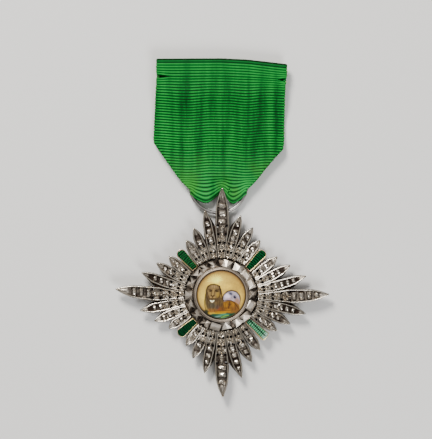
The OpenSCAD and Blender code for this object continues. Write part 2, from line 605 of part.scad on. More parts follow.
// The plain brooch pin sewn behind the ribbon's top.
module brooch_pin() {
    bar_y = ribbon_top_y - pin_down - pin_bar_w;
    block = 2.2;
    color([0.66, 0.65, 0.62]) translate([0, bar_y, 0]) union() {
        translate([-pin_l / 2, 0, pin_rise]) cube([pin_l, pin_bar_w, pin_bar_t]);
        for (side = [-1, 1])
            translate([side * (pin_l - block) / 2 - block / 2, pin_clear, pin_clear / 2])
                cube([block, pin_bar_w - 2 * pin_clear, pin_rise]);
        translate([-pin_l / 2 + block / 2, pin_bar_w / 2, pin_clear + pin_wire / 2])
            rotate([0, 90, 0]) cylinder(h = pin_l - block, d = pin_wire, $fn = 24);
    }
}

arm(0);  // arm_top
arm(1);  // arm_right
arm(2);  // arm_bottom
arm(3);  // arm_left
enamel_tray(0);  // enamel_tray_1
enamel_tray(1);  // enamel_tray_2
enamel_tray(2);  // enamel_tray_3
enamel_tray(3);  // enamel_tray_4
enamel_ray(0);  // enamel_ray_1
enamel_ray(1);  // enamel_ray_2
enamel_ray(2);  // enamel_ray_3
enamel_ray(3);  // enamel_ray_4
boss_ring();
medallion_cup();
medallion();
back_nut();
hanging_eye();
suspension_ring();
ribbon();
brooch_pin();
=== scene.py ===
# %% [markdown]
# # A breast star on a folded ribbon
#
# The real badge is four cast silver arms and four short enamel rays, clamped under a faceted
# silver boss with a painted medallion in it. A thin ring hangs it from a ribbed silk ribbon.
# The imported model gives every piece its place. The cells below dress it, one piece at a time.

import json
import math
import random

import bmesh
import bpy
import numpy as np
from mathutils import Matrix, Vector, noise

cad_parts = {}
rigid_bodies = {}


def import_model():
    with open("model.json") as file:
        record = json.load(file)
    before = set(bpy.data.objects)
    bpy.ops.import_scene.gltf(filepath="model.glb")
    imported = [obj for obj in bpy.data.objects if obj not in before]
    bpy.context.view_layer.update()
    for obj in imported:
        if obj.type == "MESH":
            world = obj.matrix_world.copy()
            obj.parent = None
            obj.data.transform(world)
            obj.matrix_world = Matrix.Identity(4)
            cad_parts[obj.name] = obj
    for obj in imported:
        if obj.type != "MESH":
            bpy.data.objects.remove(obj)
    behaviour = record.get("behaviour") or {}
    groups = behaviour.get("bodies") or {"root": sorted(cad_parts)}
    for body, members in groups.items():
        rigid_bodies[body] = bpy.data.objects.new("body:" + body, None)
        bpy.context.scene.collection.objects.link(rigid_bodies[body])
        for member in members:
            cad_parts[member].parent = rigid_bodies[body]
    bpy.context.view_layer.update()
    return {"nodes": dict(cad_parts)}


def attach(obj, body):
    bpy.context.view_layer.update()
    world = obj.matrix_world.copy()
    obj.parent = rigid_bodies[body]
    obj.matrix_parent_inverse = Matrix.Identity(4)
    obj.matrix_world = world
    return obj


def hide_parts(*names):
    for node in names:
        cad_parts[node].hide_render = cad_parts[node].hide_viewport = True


for thing in list(bpy.data.objects):
    bpy.data.objects.remove(thing)
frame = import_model()
MM = 0.001
scene = bpy.context.scene

# %% [markdown]
# ## Helpers for pieces and finishes
#
# Blender counts in metres, and a badge is easier to think of in millimetres, so the first
# helpers take points in millimetres. Each piece keeps its place in its mesh. A finish is a
# small tree of nodes, and a few short helpers add a node and link what it is given.

# %% Make a mesh piece
def put_in_scene(name, data):
    thing = bpy.data.objects.new(name, data)
    scene.collection.objects.link(thing)
    return thing


def new_piece(name, points, faces, smooth=True):
    """A mesh object made of points in millimetres and faces."""
    mesh = bpy.data.meshes.new(name)
    mesh.from_pydata([tuple(float(c) * MM for c in p) for p in points], [], faces)
    mesh.update()
    if smooth:
        mesh.shade_smooth()
    return put_in_scene(name, mesh)


def positions(piece):
    """The piece's points, in millimetres."""
    flat = np.empty(len(piece.data.vertices) * 3)
    piece.data.vertices.foreach_get("co", flat)
    return flat.reshape(-1, 3) / MM


def move_points(piece, points):
    piece.data.vertices.foreach_set("co", (np.asarray(points) * MM).ravel())
    piece.data.update()


def set_number(piece, name, values, where="POINT"):
    """Stores one number at each point or on each face, for the finishes to read."""
    layer = piece.data.attributes.new(name, "FLOAT", where)
    layer.data.foreach_set("value", np.asarray(values, np.float32))


def silver_piece(name, points, faces, wear, facet_glint_shade=0.0, smooth=True):
    """A piece that stores how worn each corner is, and how much brighter or darker each face is
    painted: painted glints and painted shade on its facets.
    """
    piece = new_piece(name, points, faces, smooth)
    set_number(piece, "crest", wear)
    set_number(piece, "facet", np.broadcast_to(facet_glint_shade, len(faces)), "FACE")
    return piece


def tube_faces(rings, n, capped=True):
    """Faces of a tube made of rings with n points each, and a cap at each of its ends."""
    faces = [(r * n + k, r * n + (k + 1) % n, (r + 1) * n + (k + 1) % n, (r + 1) * n + k)
             for r in range(rings - 1) for k in range(n)]
    caps = [tuple(range(n))[::-1], tuple(range((rings - 1) * n, rings * n))]
    return faces + (caps if capped else [])


def turn_faces_out(piece, merge=0.0):
    """Turns all faces outwards, after joining points nearer to each other than merge, in mm."""
    work = bmesh.new()
    work.from_mesh(piece.data)
    if merge:
        bmesh.ops.remove_doubles(work, verts=work.verts, dist=merge * MM)
        bmesh.ops.dissolve_degenerate(work, edges=work.edges, dist=merge / 2 * MM)
    bmesh.ops.recalc_face_normals(work, faces=work.faces)
    open_edges = sum(not e.is_manifold for e in work.edges)
    work.to_mesh(piece.data)
    work.free()
    return open_edges


def apply_modifiers(piece):
    """Turns the piece's modifiers into a plain mesh."""
    graph = bpy.context.evaluated_depsgraph_get()
    mesh = bpy.data.meshes.new_from_object(piece.evaluated_get(graph), depsgraph=graph,
                                           preserve_all_data_layers=True)
    piece.modifiers.clear()
    piece.data = mesh


def join(name, parts):
    """Joins mesh objects into one piece."""
    work, materials = bmesh.new(), []
    for part in parts:
        before = len(work.faces)
        work.from_mesh(part.data)
        work.faces.ensure_lookup_table()
        slots = list(part.data.materials)
        for face in work.faces[before:]:
            material = slots[face.material_index]
            if material not in materials:
                materials.append(material)
            face.material_index = materials.index(material)
    mesh = bpy.data.meshes.new(name)
    for material in materials:
        mesh.materials.append(material)
    work.to_mesh(mesh)
    work.free()
    for part in parts:
        bpy.data.objects.remove(part)
    return put_in_scene(name, mesh)


def mix(a, b, t):
    return a + (b - a) * t


def smooth_step(a, b, x):
    t = np.clip((np.asarray(x, float) - a) / (b - a), 0, 1)
    return t * t * (3 - 2 * t)


def ripple(point, scale, seed=0.0):
    """Soft noise from -1 to 1 at a point in millimetres."""
    return noise.noise(Vector((point[0] / scale + seed, point[1] / scale - seed, point[2] / scale)))


# %% Make a finish from nodes
class Value:
    """A number that nodes work out. It is added, taken away and multiplied like any other."""
    def __init__(self, nodes, socket):
        self.nodes, self.socket = nodes, socket

    def __add__(self, other):
        return self.nodes.number("ADD", self, other)

    def __sub__(self, other):
        return self.nodes.number("SUBTRACT", self, other)

    def __mul__(self, other):
        return self.nodes.number("MULTIPLY", self, other)

    def remap(self, low, high, to_low=0.0, to_high=1.0):
        made = self.nodes.add("ShaderNodeMapRange", self, low, high, to_low, to_high)
        return Value(self.nodes, made.outputs[0])


class Nodes:
    """A tree of nodes, with short ways to add to it."""
    def __init__(self, tree):
        self.tree = tree

    def fill(self, node, values):
        """Sets inputs of a node, or links them where the value comes from another node."""
        for key, value in values.items():
            value = getattr(value, "socket", value)
            if isinstance(value, bpy.types.NodeSocket):
                self.tree.links.new(value, node.inputs[key])
            else:
                node.inputs[key].default_value = value

    def add(self, kind, *values, inputs={}, **settings):
        """Adds a node. Values go to its inputs in order, and further ones by their names."""
        node = self.tree.nodes.new(kind)
        for key, value in settings.items():
            setattr(node, key, value)
        self.fill(node, {**dict(enumerate(values)), **inputs})
        return node

    def number(self, operation, *values, clamp=False):
        made = self.add("ShaderNodeMath", *values, operation=operation, use_clamp=clamp)
        return Value(self, made.outputs[0])

    def vector(self, operation, *values, output=0, **inputs):
        return self.add("ShaderNodeVectorMath", *values, operation=operation,
                        inputs=inputs).outputs[output]


class Finish(Nodes):
    """A material with one shader, and its plain numbers set on the shader's own sockets."""
    def __init__(self, name, **sockets):
        self.material = bpy.data.materials.new(name)
        self.material.use_nodes = True
        super().__init__(self.material.node_tree)
        self.shader = self.tree.nodes["Principled BSDF"]
        self.shade(**sockets)

    def shade(self, **sockets):
        self.fill(self.shader, {key.replace("_", " "): value for key, value in sockets.items()})

    def blend(self, share, a, b):
        """Colour a where the share is 0, and colour b where it is 1."""
        return self.add("ShaderNodeMix", data_type="RGBA", inputs={0: share, 6: a, 7: b}).outputs[2]

    def stored(self, name):
        """A number that the piece stores."""
        made = self.add("ShaderNodeAttribute", attribute_name=name)
        return Value(self, made.outputs["Fac"])

    def place(self):
        """The place on the piece, in millimetres."""
        return self.vector("SCALE", self.add("ShaderNodeTexCoord").outputs["Object"], Scale=1 / MM)

    def noise(self, at, scale, detail, roughness=0.55, dimensions="3D"):
        made = self.add("ShaderNodeTexNoise", noise_dimensions=dimensions, inputs={
            "Vector": at, "Scale": scale, "Detail": detail, "Roughness": roughness})
        return Value(self, made.outputs[0])

    def bump(self, height, strength, distance_mm):
        made = self.add("ShaderNodeBump", inputs={"Strength": strength, "Height": height,
                                                  "Distance": distance_mm * MM})
        self.shade(Normal=made.outputs[0])


def rgb(red, green, blue):
    """A colour as seen on a screen, from 0 to 255, as the shaders count it."""
    def linear(c):
        c = c / 255
        return c / 12.92 if c <= 0.04045 else ((c + 0.055) / 1.055) ** 2.4
    return (linear(red), linear(green), linear(blue), 1.0)


# %% [markdown]
# ## Antique silver
#
# Old silver is bright only where fingers and cloth rub it. In its recesses it stays brown and
# nearly black. Each silver piece stores a number named crest, from 0 in a recess to 1 on a
# crest, and the finish mixes bright metal and tarnish by it, broken up by two sizes of noise.
# Cut facets also store a number of their own, which paints some facets brighter and some darker:
# painted glints and painted shade.

# %% Antique silver and its cousins
def silver_finish(name, bright, dark, bare=0.0, rough=0.3, grain=1.0):
    """Silver that is dark where crest is 0. The number bare lifts the whole finish."""
    look = Finish(name, Metallic=1.0)
    at = look.place()
    crest = look.stored("crest") + look.stored("facet") + bare
    blotch, fine = look.noise(at, 0.45, 4.0), look.noise(at, 3.2, 5.0, 0.6)
    share = (crest + (blotch * 0.55 + fine * 0.35 - 0.45)).remap(0.18, 0.85)
    warm = tuple(c * k for c, k in zip(rgb(*bright), (0.86, 0.82, 0.77, 1)))
    worn = look.blend(blotch.remap(0.35, 0.65), rgb(*bright), warm)
    look.shade(Base_Color=look.blend(share, rgb(*dark), worn),
               Roughness=(share + fine * 0.4).remap(0.1, 1.3, 0.62, rough))
    scratch = look.add("ShaderNodeTexWave", wave_type="BANDS", bands_direction="DIAGONAL", inputs={
        "Vector": at, "Scale": 0.9, "Distortion": 9.0, "Detail": 3.0}).outputs[1]
    look.bump(fine * 0.8 + Value(look, scratch) * 0.2, 0.35 * grain, 0.06)
    return look.material


# Rows: name, bright colour, dark colour, bareness, roughness, grain.
star_silver, boss_silver, ring_silver, band_silver, cup_silver, nut_silver, pin_steel = (
    silver_finish(*row) for row in (
        ("antique_star_silver", (222, 213, 198), (42, 32, 26), 0.0, 0.15, 0.6),
        ("antique_boss_silver", (216, 206, 192), (46, 39, 33), 0.02, 0.4, 1.3),
        ("grey_ring_silver", (150, 147, 145), (38, 34, 32), 0.55, 0.36),
        ("dull_band_silver", (188, 177, 163), (66, 55, 46), 0.0, 0.42),
        ("soft_cup_silver", (188, 174, 158), (60, 48, 38), -0.08, 0.42),
        ("plain_nut_silver", (176, 170, 160), (52, 42, 34), 0.7, 0.38),
        ("bright_pin_steel", (188, 188, 186), (70, 60, 50), 0.75, 0.33)))
print("silver finishes:", [m.name for m in bpy.data.materials if "silver" in m.name])

# %% [markdown]
# ## The cast arms
#
# Each arm is one casting of seven leaf-shaped rays. A ray has a bright rim along both sides, a
# sunken channel with a row of cut studs, and near the boss it is drilled through. A leaf could
# be cut from a block, but a grid of rows and columns follows it better: the rows run across the
# ray at growing radius, and the columns follow its rims, its channel and the web beside it.

# %% Sizes of the rays
BACK_Z, ROOT_T, ROOT_R, STAR_R = 2.4, 0.9, 10.7, 31.0
CENTRE_W, SIDE_W, WEB_T, CHANNEL = 4.0, 2.9, 0.8, 0.55
ROOT_H, TIP_H, CENTRE_RISE, WEB_REACH = 1.8, 1.0, 0.35, 0.87
ROW_STEP, ROOT_COLUMNS, ROOT_SPREAD, POST_R, BOSS_IN_R = 0.34, 18, 30.5, 2.3, 7.2
# The web lies this much under the rims, a rim is full from this half width, and the strips of
# web end in a notch before the tips.
WEB_DROP, FULL_RIM, NOTCH_DEPTH, FLANGE_L = 0.42, 0.82, 1.6, 3.2
# How far a row of studs ends before the tip: of a centre ray on each arm, and of a side ray.
PLAIN_TIP = {"top": 3.3, "right": 3.4, "bottom": 4.0, "left": 4.4, "side": 2.6}
# Columns: angle of the tip from the arm's direction, reach of the tip, angle at the root.
RAYS = {
    "top": ((-35.8, 0.63, -32.5), (-25.3, 0.70, -21.5), (-13.9, 0.77, -10.5), (-0.5, 1.01, -1),
            (11, 0.81, 11), (22.4, 0.68, 22.4), (32.8, 0.61, 33)),
    "right": ((-33.1, 0.63, -32.4), (-23.1, 0.71, -20.5), (-12.8, 0.82, -11.8), (0.1, 1.02, -2.5),
              (12.3, 0.82, 7.5), (23, 0.71, 18.5), (33.8, 0.64, 30)),
    "bottom": ((-34.8, 0.58, -32.6), (-23.9, 0.66, -22.6), (-11.9, 0.76, -12), (0.9, 0.97, 0),
               (13.8, 0.81, 10.5), (24.3, 0.70, 21), (34.8, 0.64, 32.9)),
    "left": ((-35.9, 0.61, -31.5), (-25.9, 0.68, -21.5), (-15.4, 0.78, -10), (-2.9, 1, 1),
             (11.1, 0.78, 11.5), (21.7, 0.68, 21.5), (32.8, 0.59, 31)),
}
DIRECTION = {"top": 90, "right": 0, "bottom": -90, "left": 180}
CENTRE_LEAF = ((0, 0.92), (0.2, 0.96), (0.48, 1), (0.66, 0.96), (0.78, 0.84), (0.9, 0.5), (1, 0.05))
SIDE_LEAF = ((0, 0.74), (0.28, 0.95), (0.52, 1), (0.75, 0.91), (0.9, 0.54), (1, 0.05))


def rounded(table, x):
    """Reads a table with its corners rounded off."""
    place, value = zip(*table)
    fine = np.linspace(-0.1, 1.1, 241)
    window = np.hanning(19) / np.hanning(19).sum()
    soft = np.convolve(np.pad(np.interp(fine, place, value), 9, mode="edge"), window, "valid")
    return np.interp(x, fine, soft)


class Ray:
    """One leaf-shaped ray: where its axis runs, and how wide and high it is."""
    def __init__(self, arm, i):
        self.tip_angle, reach, self.root_angle = RAYS[arm][i]
        self.tip_r = reach * STAR_R
        self.is_centre = i == 3
        self.stud_end = self.tip_r - PLAIN_TIP[arm if self.is_centre else "side"]

    def share(self, r):
        return np.clip((r - ROOT_R) / (self.tip_r - ROOT_R), 0, 1)

    def axis(self, r):
        return mix(self.root_angle, self.tip_angle, self.share(r))

    def half_width(self, r):
        full, table = (CENTRE_W, CENTRE_LEAF) if self.is_centre else (SIDE_W, SIDE_LEAF)
        return full / 2 * rounded(table, self.share(r))

    def height(self, r):
        return mix(ROOT_H, TIP_H, self.share(r)) + (CENTRE_RISE if self.is_centre else 0)


def rays_of(arm):
    return [Ray(arm, i) for i in range(len(RAYS[arm]))]


def half_gap(rays, i, side, r):
    """Half of the way to the next ray on that side."""
    if not 0 <= i + side < len(rays):
        return 99.0
    return abs(rays[i + side].axis(r) - rays[i].axis(r)) / 2 * math.radians(1) * r


def valley(rays, j, r):
    """Angle and height of the web's lowest line between ray j and the next."""
    pair = rays[j:j + 2]
    angle = (pair[0].axis(r) + pair[1].axis(r)) / 2
    gap = half_gap(rays, j, 1, r)
    near = float(smooth_step(0.4, 0.0, gap - min(float(ray.half_width(r)) for ray in pair)))
    return angle, mix(WEB_T, min(float(ray.height(r)) for ray in pair) - WEB_DROP, near)


def at_angle(r, angle, z):
    a = math.radians(angle)
    return (r * math.cos(a), r * math.sin(a), z)


# %% Lay the grid of one arm
# Columns of a ray's section from its edge to its axis: distance in from the edge in mm, depth
# below the crest in mm, and how bright it is worn. The last two reach the channel's floor.
SECTION = ((0.00, 0.36, 0.2), (0.06, 0.1, 0.5), (0.17, 0.0, 0.82), (0.3, 0.02, 0.82),
           (0.44, 0.16, 0.4), (0.58, CHANNEL, 0.12))


def section(rays, i, side, r, notch, plain):
    """Points of one side of a ray's section, from its web to its axis, with their wear.
    The web is closed up to the notch, and past it a narrowing strip of it is left."""
    ray, gap, joined = rays[i], half_gap(rays, i, side, r), r <= notch
    w = min(float(ray.half_width(r)), gap - (0.02 if joined else 0.06))
    h, squeeze, foot, ridge = float(ray.height(r)), min(1.0, w / FULL_RIM), w + 0.03, 0.3 * plain

    def off_axis(distance, z, wear):
        return (ray.axis(r) + side * math.degrees(distance / r), z, wear)

    if joined:
        web = valley(rays, i if side > 0 else i - 1, r)
        points = [(*web, 0.08), off_axis(min(foot, gap - 0.005),
                                         mix(web[1], h - WEB_DROP, 0.25), 0.12)]
    else:
        flange = max(0.0, 1 - (r - notch) / FLANGE_L) ** 1.6 * max(0.0, gap - foot - 0.05)
        points = [off_axis(foot + 0.02 + flange, 0.3, 0.3),
                  off_axis(foot, WEB_T if flange > 0.05 else 0.4, 0.15)]
    # Near the boss the channel is shallower and less dark, and at the tip it turns into a ridge.
    near_root = float(smooth_step(18.5, 13.0, r))
    floor_wear = 0.27 if ray.is_centre else 0.16
    for inset, depth, wear in SECTION:
        depth = depth * mix(0.55, 1.0, squeeze) * (1 - 0.35 * plain * (depth > 0.3))
        depth += 0.12 * near_root * (depth < 0.3) - 0.12 * near_root * (depth > 0.5)
        wear = max(wear * (1 - 0.12 * near_root), 0.42 * plain,
                   floor_wear - 0.04 + 0.46 * near_root)
        points.append(off_axis(w - inset * squeeze, h - depth, wear))
    floor_z = points[-1][1]
    points.append(off_axis(0.5 * (w - SECTION[-1][0] * squeeze), floor_z + 0.4 * ridge,
                           max(0.4 * plain, floor_wear + 0.5 * near_root)))
    return points, (ray.axis(r), floor_z + ridge, max(0.75 * plain, floor_wear + 0.48 * near_root))


def arm_blade(arm):
    """The arm's casting, before its studs and holes."""
    rays = rays_of(arm)
    last = len(rays) - 1
    rows = [POST_R, BOSS_IN_R, ROOT_R]
    while rows[-1] < STAR_R * 1.05:
        rows.append(rows[-1] + (0.15 if len(rows) == 3 else ROW_STEP))
    root_angles = np.linspace(-ROOT_SPREAD, ROOT_SPREAD, (last + 1) * ROOT_COLUMNS + 1)
    points, wear, faces = [], [], []

    def keep(r, angle, z, bright):
        points.append(at_angle(r, angle, z))
        wear.append(bright)
        return len(points) - 1

    for i, ray in enumerate(rays):
        notch = {side: (WEB_REACH * min(ray.tip_r, rays[i + side].tip_r) - NOTCH_DEPTH
                        if 0 <= i + side <= last else 0) for side in (-1, 1)}
        grid = []
        # The first three rows are the flat root under the boss. The rest follow the ray.
        for k, r in enumerate([x for x in rows if x < ray.tip_r - 0.25] + [ray.tip_r]):
            if k < 3:
                row = [(root_angles[i * ROOT_COLUMNS + c], ROOT_T, 0.1)
                       for c in range(ROOT_COLUMNS + 1)]
                if k == 2:
                    sides = [section(rays, i, s, r, notch[s], 0)[0] for s in (-1, 1)]
                    axis = (ray.axis(r), 0, 0)
                    row = [(p[0], ROOT_T, 0.1) for p in [*sides[0], axis, *sides[1][::-1]]]
            else:
                plain = float(smooth_step(ray.stud_end - 0.2, ray.stud_end + 1.2, r))
                sides = [section(rays, i, s, r, notch[s], plain) for s in (-1, 1)]
                row = [*sides[0][0], sides[0][1], *sides[1][0][::-1]]
            grid.append([(keep(r, *p), keep(r, p[0], 0.0, 0.45)) for p in row])
        columns = len(grid[0])
        for a, b in zip(grid, grid[1:]):
            for c in range(columns - 1):
                faces.append((a[c][0], b[c][0], b[c + 1][0], a[c + 1][0]))
                faces.append((a[c][1], a[c + 1][1], b[c + 1][1], b[c][1]))
        for k in range(len(grid) - 1):
            r = rows[k + 1]
            low, high = grid[k], grid[k + 1]
            if r > notch[-1]:
                faces.append((low[0][0], low[0][1], high[0][1], high[0][0]))
            if r > notch[1]:
                faces.append((low[-1][0], high[-1][0], high[-1][1], low[-1][1]))
        for c in range(columns - 1):
            faces.append((grid[0][c][0], grid[0][c + 1][0], grid[0][c + 1][1], grid[0][c][1]))
            faces.append((grid[-1][c][0], grid[-1][c][1], grid[-1][c + 1][1], grid[-1][c + 1][0]))
    cos, sin = (way(math.radians(DIRECTION[arm])) for way in (math.cos, math.sin))
    points = [(x * cos - y * sin, x * sin + y * cos, z + BACK_Z) for x, y, z in points]
    blade = silver_piece("blade_" + arm, points, faces, wear)
    open_edges = turn_faces_out(blade, merge=0.004)
    print(blade.name, "faces", len(blade.data.polygons), "open edges", open_edges)
    return blade

# %% [markdown]
# ## Studs, holes and grains
#
# The channels are full of cut studs, each with its own facets, and rows of drilled holes break
# them up. The same few shapes come back hundreds of times. Geometry Nodes set one shape on each
# of many seats, and turn each a little by a fixed seed, as a setter's hand would.

# %% A node tree that sets one shape on many seats
def make_seat_tree():
    """The tree, and the identifiers of its inputs by their labels."""
    tree = bpy.data.node_groups.new("shape_on_seats", "GeometryNodeTree")
    sockets = {label: tree.interface.new_socket(label, in_out="INPUT",
                                                socket_type="NodeSocket" + kind).identifier
               for label, kind in (("Seats", "Geometry"), ("Shape", "Object"), ("Tilt", "Float"),
                                   ("Size spread", "Float"), ("Seed", "Int"),
                                   ("Finish", "Material"))}
    tree.interface.new_socket("Geometry", in_out="OUTPUT", socket_type="NodeSocketGeometry")
    nodes = Nodes(tree)
    given = nodes.add("NodeGroupInput").outputs
    shape = nodes.add("GeometryNodeObjectInfo", inputs={"Object": given["Shape"]})
    turn, size = (nodes.add("GeometryNodeInputNamedAttribute", name,
                            data_type="FLOAT_VECTOR").outputs[0] for name in ("turn", "size"))
    most = nodes.add("ShaderNodeCombineXYZ", *[given["Tilt"]] * 3).outputs[0]
    least = nodes.vector("SCALE", most, Scale=-1.0)
    tilt = nodes.add("FunctionNodeRandomValue", data_type="FLOAT_VECTOR",
                     inputs={"Min": least, "Max": most, "Seed": given["Seed"]}).outputs[0]
    small, large = (nodes.number(way, 1.0, given["Size spread"]) for way in ("SUBTRACT", "ADD"))
    spread = nodes.add("FunctionNodeRandomValue", data_type="FLOAT",
                       inputs={2: small, 3: large, "Seed": given["Seed"]}).outputs[1]
    placed = nodes.add("GeometryNodeInstanceOnPoints", inputs={
        "Points": given["Seats"], "Instance": shape.outputs["Geometry"],
        "Rotation": nodes.vector("ADD", turn, tilt),
        "Scale": nodes.vector("SCALE", size, Scale=spread)})
    real = nodes.add("GeometryNodeRealizeInstances", placed.outputs[0])
    done = nodes.add("GeometryNodeSetMaterial", inputs={"Geometry": real.outputs[0],
                                                        "Material": given["Finish"]})
    nodes.add("NodeGroupOutput", done.outputs[0])
    return tree, sockets


SEAT_TREE, SEAT_SOCKETS = make_seat_tree()


def set_on_seats(name, seats, shape, finish, tilt=0.0, spread=0.0, seed=1):
    """One shape on each seat. A seat is a place in mm, three turns in degrees, three sizes."""
    places, turns, sizes = zip(*seats)
    base = new_piece(name, places, [])
    for key, rows in (("turn", np.radians(turns)), ("size", np.array(sizes))):
        layer = base.data.attributes.new(key, "FLOAT_VECTOR", "POINT")
        layer.data.foreach_set("vector", rows.astype(np.float32).ravel())
    nodes = base.modifiers.new("seats", "NODES")
    nodes.node_group = SEAT_TREE
    for label, value in (("Shape", shape), ("Tilt", math.radians(tilt)), ("Size spread", spread),
                         ("Seed", seed), ("Finish", finish)):
        nodes[SEAT_SOCKETS[label]] = value
    apply_modifiers(base)
    for key in ("turn", "size"):
        left = base.data.attributes.get(key)
        if left:
            base.data.attributes.remove(left)
    return base


# %% The shapes: a cut stud, a grain and a drill
CUSHION = ((1, 0.7), (0.72, 1), (-0.72, 1), (-1, 0.7),
           (-1, -0.7), (-0.72, -1), (0.72, -1), (1, -0.7))


def cut_shape(name, outline, levels, facet_glint_shade, seed=0):
    """A closed shape of one outline at several levels: size, height, wear. Each facet draws a
    painted brightness from the list: painted glints and painted shade.
    """
    faces = tube_faces(len(levels), len(outline))
    draw = random.Random(seed)
    return silver_piece(name, [(x * size, y * size, height) for size, height, _ in levels
                               for x, y in outline],
                        faces, np.repeat([wear for _, _, wear in levels], len(outline)),
                        [draw.choice(facet_glint_shade) for _ in faces], smooth=False)


# How much brighter or darker a stud's facets are painted: painted glints and painted shade.
STUD_GLINT_SHADES = (-0.4, -0.22, 0.0, 0.0, 0.15)
# The wear of each stud's levels rises to its top: tarnish low on its sides, and a painted highlight
# on its top.
cut_studs = [cut_shape("cut_stud_%d" % k, CUSHION, (
    (1.0, 0.0, 0.05), (0.96, 0.36, 0.2), (0.66, 0.74, 0.46), (0.24, 1.0, 1.0)), STUD_GLINT_SHADES, k)
    for k in (1, 2, 3)]
small_studs = [cut_shape("small_stud_%d" % k, CUSHION, (
    (1.0, 0.0, 0.36), (0.9, 0.4, 0.7), (0.36, 1.0, 1.0)), STUD_GLINT_SHADES, k) for k in (4, 5, 6)]
# A drill's wear of 0 leaves the walls of the holes it cuts dark: tarnish, and painted shade in the
# holes.
drill = cut_shape("drill", [(math.cos(a), math.sin(a)) for a in 2 * math.pi * np.arange(12) / 12],
                  ((1.0, -1.0, 0.0), (1.0, 1.0, 0.0)), (0.0,))

# %% Seats for the studs and the holes
STUD_PITCH, STUD_GAP, HOLE_START, HOLE_D, LEAN, RIM_W = 2.5, 0.22, 1.9, 0.78, 20, 0.54
GRAIN_FROM, GRAIN_TO, GRAIN_ROW, GRAIN_STEP, GRAIN_SPREAD = 11.2, 18.2, 0.72, 0.66, 34
# Rows of holes in each ray, and how many of a centre ray's last studs fill its whole width.
HOLE_ROWS = (1, 2, 2, 4, 2, 2, 1)
SINGLES = {"top": 5, "right": 4, "bottom": 4, "left": 4}
CENTRE_PITCH = {"top": 2.3, "right": 2.2, "bottom": 2.2, "left": 2.1}
SIDE_PITCH = {"top": 2.3, "right": 1.8, "bottom": 2.0, "left": 1.85}


def seat(arm, r, angle, z, across, along, height):
    """A seat in the arm, with its shape's X across the ray."""
    turn = DIRECTION[arm] + angle
    return (at_angle(r, turn, z + BACK_Z), (0, 0, turn + 90), (across, along, height))


def channel(rays, i, r):
    """Half width of the channel's floor, and its height."""
    ray = rays[i]
    w = min(float(ray.half_width(r)), half_gap(rays, i, 1, r), half_gap(rays, i, -1, r))
    return w - RIM_W * min(1.0, w / FULL_RIM), float(ray.height(r)) - CHANNEL


def root_grains(arm, rays, holes, studs):
    """Seats of the grains that cover the arm near the boss, clear of its holes and studs."""
    draw = random.Random(arm)
    grains = []
    for r in np.arange(GRAIN_FROM, GRAIN_TO, GRAIN_ROW):
        for angle in np.arange(-GRAIN_SPREAD, GRAIN_SPREAD, math.degrees(GRAIN_STEP / r)):
            r_here, a_here = r + draw.uniform(-0.16, 0.16), angle + draw.uniform(-0.7, 0.7)
            size, kept = draw.uniform(0.28, 0.46), draw.random() < 1.2 - (r - 11) / 9
            offs = [abs(a_here - ray.axis(r_here)) * math.radians(r_here) for ray in rays]
            i = int(np.argmin(offs))
            floor_d, z = channel(rays, i, r_here)
            if not kept or offs[i] > floor_d + 0.1:
                continue
            here = Vector(at_angle(r_here, DIRECTION[arm] + a_here, z + BACK_Z))
            if any(min(np.hypot(*(others - here)[:, :2].T)) < room for others, room in (
                    (holes, 0.36 + size * 0.8), (studs, 0.25 + size * 0.7))):
                continue
            grains.append((tuple(here - Vector((0, 0, 0.03))), (0, 0, draw.uniform(0, 90)),
                           (size, size * draw.uniform(0.8, 1.2), draw.uniform(0.3, 0.42))))
    return grains


def arm_seats(arm):
    """Seats of the arm's large studs, small studs and holes."""
    rays = rays_of(arm)
    large, small, holes = [], [], []
    for i, ray in enumerate(rays):
        hole_rs = [ROOT_R + HOLE_START + k * STUD_PITCH for k in range(HOLE_ROWS[i])]
        stations = [(ROOT_R + 0.15 + hole_rs[0] - HOLE_D / 2) / 2]
        stations += [r + STUD_PITCH / 2 for r in hole_rs[:-1]]
        pitch = (CENTRE_PITCH if ray.is_centre else SIDE_PITCH)[arm]
        r = hole_rs[-1] + HOLE_D / 2 + pitch / 2 - 0.2
        count_near = len(stations)
        while r < ray.stud_end - 0.1:
            stations.append(r)
            r += pitch
        for k, r in enumerate(stations):
            floor_d, z = channel(rays, i, r)
            length = (STUD_PITCH if k < count_near else pitch) * 0.5 - STUD_GAP
            if ray.is_centre and k < len(stations) - SINGLES[arm]:
                half, off = min(0.58, floor_d * 0.5), math.degrees(floor_d * 0.5 / r)
                small += [seat(arm, r + step * length, ray.axis(r) + side * off, z, half,
                               length * 0.5, 0.62) for side in (-1, 1) for step in (-0.5, 0.5)]
            elif k < count_near:
                half = min(0.6, floor_d * 0.85)
                small += [seat(arm, r + step * length, ray.axis(r), z, half, length * 0.52, 0.6)
                          for step in (-0.5, 0.5)]
            else:
                half = min(1.2 if ray.is_centre else 0.85, floor_d * 0.95)
                large.append(seat(arm, r, ray.axis(r), z - 0.02, half * 1.04, length * 0.94,
                                  0.66 if ray.is_centre else 0.72))
                # A large stud of a centre ray carries two small ones, which split its top.
                off = math.degrees(0.46 * half / r)
                small += [seat(arm, r, ray.axis(r) + side * off, z + 0.26, 0.4 * half,
                               length * 0.55, 0.5) for side in (-1, 1) if ray.is_centre]
        for r in hole_rs:
            floor_d, z = channel(rays, i, r)
            off = math.degrees((floor_d - 0.12) / r)
            for side in (-1, 1):
                at, turns, sizes = seat(arm, r, ray.axis(r) + side * off, 1.3,
                                        HOLE_D / 2, HOLE_D / 2, 3)
                holes.append((at, (LEAN, 0, turns[2]), sizes))
            small.append(seat(arm, r, ray.axis(r), z, 0.24, 0.34, 0.5))
    small += root_grains(arm, rays, *(np.array([s[0] for s in seats]) for seats in (holes, small)))
    return large, small, holes


